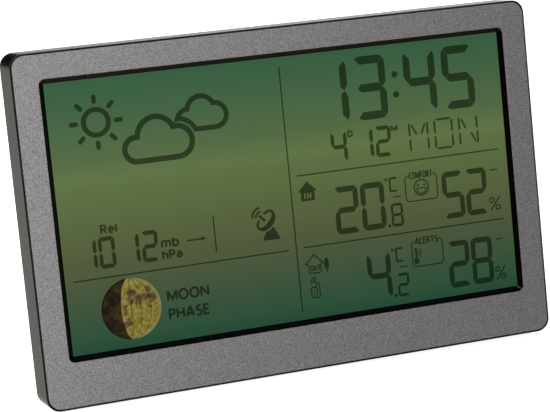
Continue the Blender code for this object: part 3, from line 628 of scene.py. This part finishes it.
def pill(start, end, width):
    """A short stroke with round ends."""
    a, b = Vector(start), Vector(end)
    angle = math.degrees(math.atan2(-(b.y - a.y), b.x - a.x))
    points = arc(start, width / 2, angle + 90, angle + 270, 8)
    return points + arc(end, width / 2, angle - 90, angle + 90, 8)


def strip(points, width, closed=False):
    """A path's stroke as four-sided patches, in millimetres across and down."""
    one, two = edges(points, width, closed)
    count = len(points) if closed else len(points) - 1
    patches = []
    for i in range(count):
        j = (i + 1) % len(points)
        patches.append([one[i], one[j], two[j], two[i]])
    return patches


def seat(mesh, depth):
    """Turns a shape drawn in the XY plane upright, facing the front at a depth."""
    mesh.transform(Matrix.Translation((0, depth, 0)) @ Matrix.Rotation(math.radians(90), 4, "X"))


def settle(name, mesh, paint, body="housing"):
    """Links a mesh given in the housing's frame as a piece that rides on a body."""
    mesh.materials.append(paint)
    piece = added(name, mesh)
    piece.matrix_world = HOUSING
    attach(piece, body)


def filled(outlines):
    """A flat film with these outlines, where an outline inside another is a hole."""
    curve = bpy.data.curves.new("outline", "CURVE")
    curve.dimensions = "2D"
    curve.fill_mode = "BOTH"
    curve.extrude = FILM / 2
    for outline in outlines:
        spline = curve.splines.new("POLY")
        spline.points.add(len(outline) - 1)
        spline.use_cyclic_u = True
        for point, place in zip(spline.points, outline):
            point.co = (*place, 0, 1)
    helper = added("helper", curve)
    graph = bpy.context.evaluated_depsgraph_get()
    mesh = bpy.data.meshes.new_from_object(helper.evaluated_get(graph))
    bpy.data.objects.remove(helper)
    bpy.data.curves.remove(curve)
    return mesh


def printed(name, outlines, paint, lift=ON_GLASS):
    """A film on the display's glass, from outlines in millimetres across and down the face."""
    mesh = filled([[on_face(*point) for point in outline] for outline in outlines])
    seat(mesh, GLASS_Y - lift - FILM / 2)
    settle(name, mesh, paint)


def patchwork(name, patches):
    """A flat film made of corners in metres, whose patches may touch and overlap."""
    bm = bmesh.new()
    for patch in patches:
        bm.faces.new([bm.verts.new((*corner, 0)) for corner in patch])
    bmesh.ops.remove_doubles(bm, verts=bm.verts, dist=0.001 * MM)
    bmesh.ops.recalc_face_normals(bm, faces=bm.faces)
    skin = bmesh.ops.extrude_face_region(bm, geom=bm.faces[:])["geom"]
    raised = [part for part in skin if isinstance(part, bmesh.types.BMVert)]
    bmesh.ops.translate(bm, verts=raised, vec=(0, 0, FILM))
    bmesh.ops.recalc_face_normals(bm, faces=bm.faces)
    mesh = bpy.data.meshes.new(name)
    bm.to_mesh(mesh)
    bm.free()
    return mesh


def drawn(name, patches, paint, lift=ON_GLASS):
    """A film on the display's glass, from patches in millimetres across and down the face."""
    mesh = patchwork(name, [[on_face(*point) for point in patch] for patch in patches])
    seat(mesh, GLASS_Y - lift)
    settle(name, mesh, paint)


def marked(name, patches, paint, behind, body="housing"):
    """A film on the back, from patches across and down as they are seen from behind."""
    corners = [[(-across * MM, (FACE_TOP - down) * MM) for across, down in patch] for patch in patches]
    mesh = patchwork(name, corners)
    seat(mesh, behind + FILM + ON_GLASS)
    settle(name, mesh, paint, body)


# ---- letters -----------------


def bend(centre, across, up, start, end, steps=8):
    """Points on part of an ellipse in a letter's own box, with angles in degrees."""
    points = []
    for step in range(steps + 1):
        angle = math.radians(start + (end - start) * step / steps)
        points.append((centre[0] + across * math.cos(angle), centre[1] + up * math.sin(angle)))
    return points


STEM = [(0, 0), (0, 1)]

# Letters as a width and the middle lines of their strokes, on a box one unit tall
LETTERS = {
    "A": (0.80, ([(0, 0), (0.38, 1), (0.42, 1), (0.80, 0)], [(0.14, 0.30), (0.66, 0.30)])),
    "C": (0.72, (bend((0.45, 0.5), 0.45, 0.5, 55, 305, 16),)),
    "D": (0.74, (STEM + [(0.3, 1)] + bend((0.3, 0.5), 0.44, 0.5, 80, -80, 12) + [(0.3, 0), (0, 0)],)),
    "E": (0.52, ([(0.52, 1), (0, 1), (0, 0), (0.52, 0)], [(0, 0.52), (0.47, 0.52)])),
    "F": (0.50, ([(0.50, 1), (0, 1), (0, 0)], [(0, 0.5), (0.45, 0.5)])),
    "H": (0.70, (STEM, [(0.70, 0), (0.70, 1)], [(0, 0.52), (0.70, 0.52)])),
    "L": (0.48, ([(0, 1), (0, 0), (0.48, 0)],)),
    "M": (0.92, (STEM, [(0.03, 0.94), (0.46, 0.12), (0.89, 0.94)], [(0.92, 1), (0.92, 0)])),
    "N": (0.74, (STEM, [(0.02, 0.95), (0.72, 0.05)], [(0.74, 0), (0.74, 1)])),
    "O": (0.88, (bend((0.44, 0.5), 0.44, 0.5, 90, 450, 28),)),
    "P": (0.56, (
        STEM + [(0.28, 1)] + bend((0.28, 0.73), 0.28, 0.27, 80, -80) + [(0.28, 0.46), (0, 0.46)],
    )),
    "R": (0.62, (
        STEM + [(0.28, 1)] + bend((0.28, 0.75), 0.27, 0.25, 80, -80) + [(0.28, 0.5), (0, 0.5)],
        [(0.26, 0.5), (0.62, 0)],
    )),
    "S": (0.56, (
        bend((0.29, 0.75), 0.25, 0.25, 40, 235, 10) + bend((0.27, 0.25), 0.29, 0.26, 55, -140, 10),
    )),
    "T": (0.68, ([(0, 1), (0.68, 1)], [(0.34, 1), (0.34, 0)])),
    "U": (0.70, ([(0, 1)] + bend((0.35, 0.36), 0.35, 0.36, 180, 360, 12) + [(0.70, 1)],)),
    "a": (0.48, (
        bend((0.23, 0.47), 0.25, 0.25, 140, 10, 6) + [(0.48, 0)],
        bend((0.22, 0.2), 0.22, 0.2, 60, 330, 10),
    )),
    "b": (0.54, (STEM, bend((0.27, 0.35), 0.27, 0.36, 150, -150, 16))),
    "e": (0.54, ([(0.02, 0.38)] + bend((0.27, 0.36), 0.27, 0.36, 0, 310, 18),)),
    "h": (0.50, (STEM, bend((0.25, 0.47), 0.25, 0.25, 170, 0) + [(0.50, 0)])),
    "l": (0.02, (STEM,)),
    "m": (0.86, (
        [(0, 0), (0, 0.72)],
        bend((0.215, 0.5), 0.215, 0.22, 170, 0) + [(0.43, 0)],
        bend((0.645, 0.5), 0.215, 0.22, 170, 0) + [(0.86, 0)],
    )),
}
LETTER_SPACE = 0.30


def letters(words, left, base, height, width, weight):
    """A word's strokes, fitted to a width, on a line whose base is given down the face."""
    natural = sum(LETTERS[letter][0] for letter in words) + LETTER_SPACE * (len(words) - 1)
    squeeze = (width - weight) / natural
    rise = height - weight
    patches = []
    at = left + weight / 2
    for letter in words:
        share, lines = LETTERS[letter]
        for line in lines:
            path = [(at + x * squeeze, base - weight / 2 - y * rise) for x, y in line]
            closed = (Vector(path[0]) - Vector(path[-1])).length < 0.01
            if closed:
                path = path[:-1]
            patches += strip(path, weight, closed)
        at += (share + LETTER_SPACE) * squeeze
    return patches


# ---- digits ------------------

# Which of the seven segments each digit lights: top, both right, bottom, both left, middle
DIGITS = {
    "0": "abcdef",
    "1": "bc",
    "2": "abged",
    "3": "abgcd",
    "4": "fgbc",
    "5": "afgcd",
    "8": "abcdefg",
}
# The gap between segments; a level segment's depth and a corner's radius as shares of the stroke
HAIRLINE = 0.065
LEVEL_DEPTH = 1.1
CORNER_RADIUS = 1.1
# How far points at 45 and 67.5 degrees round a corner stay off its sides, as shares of its radius
HALFWAY = 1 - math.sin(math.radians(45))
NEARER = 1 - math.sin(math.radians(67.5))
FARTHER = 1 - math.cos(math.radians(67.5))


def segment(letter, width, height, stroke):
    """One segment's outline in a digit's own box, across and down from its top left."""
    gap = HAIRLINE
    middle = height / 2
    deep = stroke * LEVEL_DEPTH
    corner = stroke * CORNER_RADIUS
    if letter in "ad":
        points = [
            (corner, 0),
            (width - corner, 0),
            (width - FARTHER * corner, NEARER * corner),
            (width - HALFWAY * corner - gap, HALFWAY * corner),
            (width - stroke - gap, deep),
            (stroke + gap, deep),
            (HALFWAY * corner + gap, HALFWAY * corner),
            (FARTHER * corner, NEARER * corner),
        ]
    elif letter == "g":
        half = stroke / 2
        points = [
            (half + gap, middle),
            (stroke + gap / 2, middle - deep / 2),
            (width - stroke - gap / 2, middle - deep / 2),
            (width - half - gap, middle),
            (width - stroke - gap / 2, middle + deep / 2),
            (stroke + gap / 2, middle + deep / 2),
        ]
    else:
        # The lower end slants up towards the outer side, where its tip is blunt
        points = [
            (0, corner),
            (NEARER * corner, FARTHER * corner),
            (HALFWAY * corner, HALFWAY * corner + gap),
            (stroke, deep + gap),
            (stroke, middle - deep / 2 - gap),
            (stroke / 2, middle - gap),
            (0.12 * stroke, middle - deep * 0.45 - gap),
            (0, middle - deep * 0.75 - gap),
        ]
    if letter in "bc":
        points = [(width - x, y) for x, y in points]
    if letter in "cde":
        points = [(x, height - y) for x, y in points]
    return points


def readout(numbers, lefts, top, width, height, stroke):
    """The outlines of digits that start at these places across."""
    outlines = []
    for number, left in zip(numbers, lefts):
        for letter in DIGITS[number]:
            points = segment(letter, width, height, stroke)
            outlines.append([(left + x, top + y) for x, y in points])
    return outlines


# ---- display parts -----------


def sky_icons(ink):
    """The forecast: sun and two clouds."""
    sun = (29.0, 26.7)
    outlines = [circle(sun, 5.55, 48), circle(sun, 3.7, 48)]
    for ray in range(8):
        turn = math.radians(ray * 45)
        ends = [(sun[0] + r * math.cos(turn), sun[1] - r * math.sin(turn)) for r in (7.45, 9.15)]
        outlines.append(pill(*ends, 1.7))
    printed("forecast_sun", outlines, ink)
    drawn("forecast_cloud_near", strip(lobes(NEAR_LOBES, 270, 270), 2.05, closed=True), ink)
    drawn("forecast_cloud_far", strip(far_cloud(), 1.85, closed=True), ink)


def meeting(one, two):
    """The upper point where two (centre, radius) circles cross."""
    a, b = Vector(one[0]), Vector(two[0])
    apart = (b - a).length
    along = (apart**2 + one[1] ** 2 - two[1] ** 2) / (2 * apart)
    off = math.sqrt(one[1] ** 2 - along**2)
    way = (b - a) / apart
    across = Vector((way.y, -way.x))
    points = (a + way * along + across * off, a + way * along - across * off)
    return min(points, key=lambda point: point.y)


def bearing(centre, point):
    return math.degrees(math.atan2(centre[1] - point[1], point[0] - centre[0])) % 360


def lobes(circles, start, end):
    """Arcs over a row of circles from left to right, from one bearing to another."""
    joins = [meeting(a, b) for a, b in zip(circles, circles[1:])]
    points = []
    for i, (centre, radius) in enumerate(circles):
        first = start if i == 0 else bearing(centre, joins[i - 1])
        last = end if i == len(circles) - 1 else bearing(centre, joins[i])
        if last > first:
            last -= 360
        points += arc(centre, radius, first, last, 14)[(1 if i else 0):]
    return points


NEAR_LOBES = (((42.95, 38.25), 4.45), ((50.75, 34.3), 7.15), ((58.55, 37.05), 5.65))
FAR_LOBES = (((63.4, 30.3), 4.3), ((68.5, 27.0), 5.3), ((73.65, 29.15), 4.45))
CLOUD_GAP = 2.5


def far_cloud():
    """The cloud behind, cut back along the near one's outline."""
    centre, radius = NEAR_LOBES[-1]
    cut = radius + CLOUD_GAP
    floor = FAR_LOBES[-1][0][1] + FAR_LOBES[-1][1]
    right = math.degrees(math.asin((centre[1] - floor) / cut))
    points = lobes(FAR_LOBES, 164, 270)
    return points + arc(centre, cut, right, 84, 10)[:-1]


def border():
    """A near-black film round the picture, which stands a little inside the frame on three sides: painted
    shade of the frame along the display's edges, not print.
    """
    left, top, right, bottom, outer = 11.3, 10.95, 189.4, 109.7, 1.2
    sides = [
        box(left - outer, top - outer, left, bottom + outer),
        box(left, top - outer, right, top),
        box(left, bottom, right, bottom + outer),
    ]
    # Near black: painted shade that the frame casts on the display's edges
    paint = plastic("border_painted_shade", grey(0.0006), grey(0.0012), 0.5, specular=0.0)
    drawn("display_border_painted_shade", sides, paint)


def dividers(ink):
    thin = 0.25
    outlines = [
        box(14.5, 82.9 - thin, 97.2, 82.9 + thin),
        box(100.1 - thin, 14.5, 100.1 + thin, 106.7),
        box(103.0, 55.65 - thin, 185.7, 55.65 + thin),
        box(103.0, 82.7 - thin, 185.7, 82.7 + thin),
        box(69.0 - thin, 66.2, 69.0 + thin, 79.5),
    ]
    printed("display_dividers", outlines, ink)


def clock(ink):
    printed("time_digits", readout("1345", (113.4, 129.0, 149.4, 165.2), 14.2, 13.0, 24.0, 2.8), ink)
    printed("time_colon", [circle((145.7, 22.4), 1.25), circle((145.7, 30.0), 1.25)], ink)
    printed("date_digits", readout("412", (117.7, 128.3, 135.6), 41.1, 6.4, 11.7, 1.4), ink)
    drawn("day_letter", letters("D", 124.6, 43.8, 2.6, 2.2, 0.62), ink)
    drawn("month_letter", letters("M", 142.2, 43.8, 2.6, 2.9, 0.62), ink)
    printed("weekday_letters", weekday(), ink)


def sliver(start, end, width):
    """A thin segment with pointed ends."""
    a, b = Vector(start), Vector(end)
    way = (b - a).normalized()
    side = Vector((-way.y, way.x)) * width / 2
    tip = way * width * 0.7
    corners = (a, a + tip + side, b - tip + side, b, b - tip - side, a + tip - side)
    return [tuple(corner) for corner in corners]


def weekday():
    """MON in thin segments."""
    thin = 0.8
    outlines = []
    for x in (149.75, 157.2, 160.2, 167.35, 170.4, 177.75):
        outlines.append(sliver((x, 41.6), (x, 46.6), thin))
        outlines.append(sliver((x, 47.4), (x, 52.3), thin))
    slants = (
        ((150.7, 42.1), (152.7, 46.3)),
        ((156.3, 42.1), (154.4, 46.3)),
        ((171.3, 42.1), (173.2, 46.3)),
        ((175.1, 47.7), (177.0, 51.8)),
    )
    outlines += [sliver(start, end, 0.75) for start, end in slants]
    outlines += [sliver((160.6, y), (167.0, y), thin) for y in (41.4, 52.4)]
    return outlines


def unit_degree(top):
    """Degree ring and a C in thin segments, with the trend dash below."""
    left, corner, right = 139.8, 140.2, 142.55
    upper = [(right, top + 0.12), (corner, top + 0.12), (left, top + 0.47), (left, top + 2.45)]
    lower = [(left, top + 2.62), (left, top + 4.65), (corner, top + 5.0), (right, top + 5.0)]
    patches = strip(upper, 0.76) + strip(lower, 0.76)
    patches += strip(circle((138.35, top + 0.4), 0.42, 14), 0.42, closed=True)
    return patches + strip([(140.7, top + 7.35), (143.9, top + 7.35)], 0.5)


def unit_percent(top):
    """Percent sign."""
    outlines = []
    for centre in ((181.4, top + 1.2), (183.8, top + 4.1)):
        outlines += [circle(centre, 1.15, 24), circle(centre, 0.62, 24)]
    outlines.append(band([(180.7, top + 5.2), (184.8, top)], 0.55))
    return outlines


def reading(name, ink, degrees, lefts, tenth, humidity, rows):
    """Temperature and humidity with their units, on rows given down the face."""
    digits, small_digit, point, unit, percent, trend = rows
    outlines = readout(degrees, lefts, digits, 9.65, 18.0, 2.0)
    outlines += readout(tenth, (139.3,), small_digit, 4.9, 8.9, 0.95)
    printed(f"{name}_temperature", outlines + [circle((138.3, point), 0.62, 20)], ink)
    drawn(f"{name}_degree", unit_degree(unit), ink)
    printed(f"{name}_humidity", readout(humidity, (161.1, 170.8), digits, 8.9, 18.0, 1.9), ink)
    dash = sliver((181.4, trend), (184.9, trend), 0.52)
    printed(f"{name}_percent", unit_percent(percent) + [dash], ink)


def indoor(ink):
    gable = [(102.85, 61.8), (106.6, 58.1), (110.35, 61.8)]
    house = gable + [(109.3, 62.05), (109.3, 65.4), (103.9, 65.4), (103.9, 62.05)]
    letter_i = box(105.15, 62.4, 105.7, 64.6)
    falling = [(106.25, 64.6), (106.25, 62.4), (106.75, 62.4), (107.55, 63.75), (107.55, 62.4)]
    rising = [(108.05, 62.4), (108.05, 64.6), (107.55, 64.6), (106.75, 63.25), (106.75, 64.6)]
    printed("indoor_house", [house, letter_i, falling + rising], ink)
    rows = (61.8, 70.9, 79.2, 61.2, 73.8, 63.4)
    reading("indoor", ink, "20", (116.8, 127.5), "8", "52", rows)


def outdoor(ink):
    wall = [(104.25, 89.5), (104.25, 92.3), (104.6, 92.75), (108.7, 92.75), (109.1, 92.35), (109.1, 89.5)]
    roof = [(104.2, 89.35), (103.15, 89.15), (106.6, 85.8), (110.05, 89.15), (109.1, 89.4)]
    drawn("outdoor_house", strip(wall, 0.46) + strip(roof, 0.5), ink)
    drawn("outdoor_word", letters("OUT", 104.7, 92.0, 2.3, 4.35, 0.44), ink)
    printed("outdoor_tree", [tree_crown(), box(111.15, 92.05, 111.8, 92.95)], ink)
    drawn("outdoor_sensor", sensor_icon(), ink)
    rows = (88.6, 97.8, 106.0, 88.1, 100.8, 90.3)
    reading("outdoor", ink, "4", (127.5,), "2", "28", rows)


def tree_crown():
    """An egg-shaped outline, wider below its middle."""
    points = []
    for turn in range(0, 360, 15):
        across, up = math.sin(math.radians(turn)), math.cos(math.radians(turn))
        points.append((111.4 + across * (1 - 0.22 * up), 89.7 - 2.2 * up))
    return points


def sensor_icon():
    """The outdoor sensor: a small box on its bracket, sending."""
    hook = [(106.45, 98.0), (106.8, 96.9), (107.35, 96.5), (107.8, 97.1)]
    foot = [(107.85, 101.3), (107.5, 102.0), (106.9, 102.3)]
    patches = strip(sum(round_corners(104.45, 98.1, 106.75, 102.0, 0.6), []), 0.42, closed=True)
    patches += strip(hook + foot, 0.42)
    patches += strip([(105.3, 99.3), (105.9, 99.3)], 0.4) + strip([(105.3, 100.6), (105.9, 100.6)], 0.3)
    for radius, width in ((0.7, 0.45), (1.45, 0.4), (2.35, 0.52)):
        patches += strip(arc((106.8, 96.65), radius, 92, 176, 8), width)
    return patches


def framed(left, top, gap, ink, name):
    """A round-cornered frame whose top side is open where its word stands."""
    upper_right, *others = round_corners(left, top, 159.1, top + 9.75, 1.5)
    path = [(gap[0], top)] + sum(others, []) + upper_right + [(gap[1], top)]
    printed(name, [band(path, 0.46)], ink)


def comfort(ink):
    framed(146.0, 61.4, (147.7, 157.5), ink, "comfort_frame")
    drawn("comfort_word", letters("COMFORT", 147.75, 62.8, 2.8, 9.8, 0.5), ink)
    face = (152.55, 66.25)
    outlines = [circle(face, 3.2, 48), circle(face, 2.66, 48)]
    outlines += [circle((face[0] + side * 1.35, face[1] - 0.95), 0.42, 20) for side in (-1, 1)]
    mouth = [(150.55, 66.6), (152.55, 66.45), (154.55, 66.6)]
    mouth += arc((152.55, 66.55), 2.0, 352, 188, 14)
    printed("comfort_face", outlines + loop(mouth, 0.44), ink)


def alerts(ink):
    framed(146.37, 86.5, (147.8, 157.5), ink, "alerts_frame")
    drawn("alerts_word", letters("ALERTS", 147.85, 87.95, 2.85, 9.65, 0.52), ink)
    tube = arc((147.95, 89.75), 0.62, 0, 180, 8) + arc((148.0, 94.1), 1.12, 122, 418, 20)
    hollow = box(147.58, 89.9, 147.86, 92.9)
    outlines = [tube, hollow]
    for i, length in enumerate((1.0, 1.3, 1.3, 1.3, 0.9)):
        y = 89.75 + 0.65 * i
        outlines.append(band([(149.1, y), (149.1 + length, y)], 0.34))
    printed("alerts_thermometer", outlines, ink)


def pressure(ink):
    outlines = readout("10", (17.95, 24.85), 68.1, 6.2, 11.5, 1.4)
    outlines += readout("12", (33.95, 41.0), 68.1, 6.2, 11.5, 1.4)
    printed("pressure_digits", outlines, ink)
    drawn("pressure_kind", letters("Rel", 26.2, 67.2, 3.6, 6.4, 0.74), ink)
    drawn("pressure_unit_upper", letters("mb", 48.2, 75.3, 3.8, 7.0, 0.78), ink)
    drawn("pressure_unit_lower", letters("hPa", 48.2, 79.6, 3.5, 7.8, 0.78), ink)
    head = [(63.7, 72.9), (65.7, 73.8), (63.7, 74.7)]
    printed("pressure_trend", [[(58.2, 73.5), (63.7, 73.5)] + head + [(63.7, 74.1), (58.2, 74.1)]], ink)


# The middle of the dish's rim
DISH = (88.98, 70.23)


def bowl(angle, long, short, deep=0.0):
    """A point on the dish's tilted ellipse, moved towards its back by a depth."""
    along = long * math.cos(math.radians(angle))
    across = short * math.sin(math.radians(angle)) + deep
    return (DISH[0] + (along + across) * math.sqrt(0.5), DISH[1] + (across - along) * math.sqrt(0.5))


def dish(ink):
    """Radio time signal: a dish on its foot, receiving."""
    patches = strip([bowl(angle, 4.05, 1.95) for angle in range(-72, 247, 6)], 0.9)
    back = [(bowl(angle, 4.35, 3.05, 0.52), bowl(angle, 3.7, 1.6)) for angle in range(0, 181, 12)]
    for (outer_a, inner_a), (outer_b, inner_b) in zip(back, back[1:]):
        patches.append([outer_a, outer_b, inner_b, inner_a])
    feed = strip([(86.95, 68.6), (88.9, 70.65)], 0.95) + strip([(87.2, 68.3), (86.7, 68.85)], 0.8)
    foot = [(92.0, 73.1), (94.35, 78.0), (87.3, 77.9), (88.85, 74.85), (90.5, 74.3)]
    patches += feed + [foot]
    for radius in (2.4, 3.86):
        patches += strip(arc((87.8, 69.3), radius, 98, 176, 10), 0.8)
    drawn("signal_dish", patches, ink)


def meridian(share, radius=MOON_RADIUS):
    """Points from the moon's north to its south, at a share of its half width."""
    steps = 24
    points = []
    for step in range(steps + 1):
        angle = math.pi * step / steps
        points.append((MOON[0] + share * radius * math.sin(angle), MOON[1] - radius * math.cos(angle)))
    return points


def moon(ink):
    """A printed disc behind six slices, of which the two on the left are dark."""
    third = 1 / 3
    pale = (0.235, 0.230, 0.095)
    full = moon_print("moon_print", (1.0, 1.0, 1.0), pale)
    shade = moon_print("moon_print_shaded", (0.155, 0.14, 0.175), (0.02, 0.02, 0.01))
    lines = moon_print("moon_lines", (0.33, 0.28, 0.30), pale)
    above = ON_GLASS + FILM
    printed("moon_disc", [circle(MOON, MOON_RADIUS, 72)], full)
    printed("moon_shadow", [meridian(-1) + meridian(-third)[::-1][1:-1]], shade, above)
    slices = []
    for share in (0, third, 2 * third):
        slices += strip(meridian(share, MOON_RADIUS - 0.15), 0.2)
    drawn("moon_slices", slices, lines, above)
    drawn("moon_word_upper", letters("MOON", 48.4, 95.15, 4.35, 16.3, 0.86), ink)
    drawn("moon_word_lower", letters("PHASE", 48.4, 101.95, 4.3, 15.9, 0.86), ink)


def display():
    ink = segment_ink()
    border()
    sky_icons(ink)
    dividers(ink)
    clock(ink)
    indoor(ink)
    outdoor(ink)
    comfort(ink)
    alerts(ink)
    pressure(ink)
    dish(ink)
    moon(ink)


# The frame's lower right mitre, from its inner end to its outer one, in the housing's frame
MITRE = (Vector((89.05, 1.95, 18.55)) * MM, Vector((89.95, 0.12, 17.7)) * MM)
MITRE_HALF = 0.17 * MM


def mitre():
    """A thin light grey ridge along the frame's lower right mitre: the joint's shape, with a painted
    highlight of its polish as its colour.
    """
    start, end = MITRE
    along = (end - start).normalized()
    side = along.cross(Vector((-1, -1, 1))).normalized()
    rise = along.cross(side)
    corners = [tip + way * MITRE_HALF for tip in MITRE for way in (side, rise, -side, -rise)]
    faces = [(i, i + 4, (i + 1) % 4 + 4, (i + 1) % 4) for i in range(4)] + [(0, 1, 2, 3), (4, 5, 6, 7)]
    mesh = bpy.data.meshes.new("frame_mitre_painted_glint")
    mesh.from_pydata(corners, [], faces)
    bm = bmesh.new()
    bm.from_mesh(mesh)
    bmesh.ops.recalc_face_normals(bm, faces=bm.faces)
    bm.to_mesh(mesh)
    bm.free()
    # Its light grey is a painted highlight, the glint of the polished black joint
    settle("frame_mitre_painted_glint", mesh, plastic("mitre_painted_highlight", grey(0.17), grey(0.23), 0.3))


# ---- back marks --------------

# From the face to the shell's flat back, and where the marks sit down the face
SHELL_BACK = 17 * MM
KEY_MARK_DOWN = 12.4
DOOR_ARROW_DOWN = 104.5
JACK_MARK_DOWN = 110.5


def bell(x, y):
    """An alarm bell about three millimetres tall."""
    dome = [(x - 1.35, y + 0.8), (x - 0.95, y + 0.3)] + arc((x, y - 0.4), 0.95, 180, 0, 12)
    dome += [(x + 0.95, y + 0.3), (x + 1.35, y + 0.8)]
    return strip(dome, 0.34, closed=True) + strip([(x - 0.35, y + 1.35), (x + 0.35, y + 1.35)], 0.5)


def triangle(x, y, up):
    return [[(x - 1.35, y + up), (x + 1.35, y + up), (x, y - up)]]


def middle_of(node):
    """How far across from the face's middle a node's own middle is, in millimetres seen from behind."""
    return -(reach(node, RIGHT, min) + reach(node, RIGHT, max)) / 2 / MM


def key_marks(ink):
    """A generic mark above each key on the back."""
    line = KEY_MARK_DOWN
    marks = {
        "set": lambda x: letters("SET", x - 2.6, line + 1.2, 2.4, 5.2, 0.4),
        "up": lambda x: triangle(x, line, 1.1),
        "down": lambda x: triangle(x, line, -1.1),
        "alarm": lambda x: bell(x, line),
        "channel": lambda x: letters("CH", x - 1.9, line + 1.2, 2.4, 3.8, 0.4),
        "memory": lambda x: letters("MEM", x - 3.1, line + 1.2, 2.4, 6.2, 0.4),
    }
    for key, patches in marks.items():
        marked(f"mark_{key}", patches(middle_of(f"key_{key}")), ink, SHELL_BACK)


def polarity(x, y):
    """The sign of a plug's outer and inner contact beside the power socket."""
    patches = strip(circle((x, y), 0.3, 12), 0.4, closed=True)
    for ring in (x - 4.9, x, x + 4.9):
        patches += strip(circle((ring, y), 1.25, 28), 0.3, closed=True)
    for start, end in ((-5.55, -4.25), (-3.6, -1.25), (0, 3.6), (4.25, 5.55)):
        patches += strip([(x + start, y), (x + end, y)], 0.3)
    return patches + strip([(x + 4.9, y - 0.65), (x + 4.9, y + 0.65)], 0.3)


def back_marks():
    ink = mark_print()
    key_marks(ink)
    marked("mark_power", polarity(middle_of("power_jack"), JACK_MARK_DOWN), ink, SHELL_BACK)
    down = DOOR_ARROW_DOWN
    arrow = [[(-2.6, down), (2.6, down), (0, down + 3.4)], box(-0.9, down - 2.6, 0.9, down)]
    marked("mark_door", arrow, ink, reach("battery_door", BACK, max) - FACE_Y, "battery_cover")


# ---- stage -------------------

ROOM_FRONT = 0.11
ROOM_BACK = 0.006
TABLE_LEFT = 0.36
TABLE_RIGHT = 1.0
TABLE_TINT = (1.0, 0.96, 0.89)
FLOOR_RADIUS = 6
FLOOR_GLOW = 0.85
LIGHT_AIM = Vector((0, 0, 0.06))


def make_floor():
    """A wide pale floor that glows, and neither lights the object nor shows in it."""
    bm = bmesh.new()
    bmesh.ops.create_circle(bm, cap_ends=True, segments=96, radius=FLOOR_RADIUS)
    mesh = bpy.data.meshes.new("floor")
    bm.to_mesh(mesh)
    bm.free()
    floor = added("floor", mesh)
    paint = Paint("floor_paint", roughness=0.7, specular=0.2)
    haze = paint.noise(paint.place(), 3, 2)
    paint.set("Base Color", paint.between(haze, grey(0.90), grey(0.92)))
    paint.glow(grey(1.0), FLOOR_GLOW)
    mesh.materials.append(paint.material)
    floor.visible_glossy = False
    floor.visible_diffuse = False


def area_light(name, place, size, power):
    """A square light that shines towards the object."""
    data = bpy.data.lights.new(name, "AREA")
    data.size = size
    data.energy = power
    light = added(name, data)
    light.location = place
    light.rotation_euler = (LIGHT_AIM - Vector(place)).to_track_quat("-Z", "Y").to_euler()
    light.visible_camera = False


def make_world():
    """A dim studio, darker behind the object, over a pale table that ends nearer on the left."""
    world = bpy.data.worlds.new("studio")
    world.use_nodes = True
    nodes = Nodes(world.node_tree)
    x, y, z = nodes.split(nodes.node("TexCoord", {}, "Generated"))
    room = nodes.spread(y, ROOM_FRONT, ROOM_BACK, -0.2, 0.3)
    # The table's far edge lies below the horizon and slants, with a soft step to the room
    skew = nodes.node("Math", {0: x, 1: -0.3, 2: z}, operation="MULTIPLY_ADD")
    on_table = nodes.spread(skew, 1.0, 0.0, -0.24, -0.16)
    table = nodes.spread(x, TABLE_LEFT, TABLE_RIGHT, -0.3, 0.3)
    light = nodes.math("MAXIMUM", room, nodes.math("MULTIPLY", on_table, table))
    nodes.feed(nodes.tree.nodes["Background"].inputs["Color"], nodes.times(light, TABLE_TINT))
    bpy.context.scene.world = world


def make_light():
    make_world()
    area_light("key_light", (-0.22, -0.30, 0.12), 0.2, 1.0)
    area_light("top_light", (0, -0.25, 0.40), 0.2, 0.74)
    area_light("ceiling_light", (0, 0, 2.2), 4.4, 52)
    area_light("back_light", (0.7, 1.3, 1.0), 0.9, 10)
    bpy.context.scene.view_settings.view_transform = "Standard"


# ---- run ---------------------

make_camera()
dress_cad_nodes()
display()
mitre()
back_marks()
make_floor()
make_light()
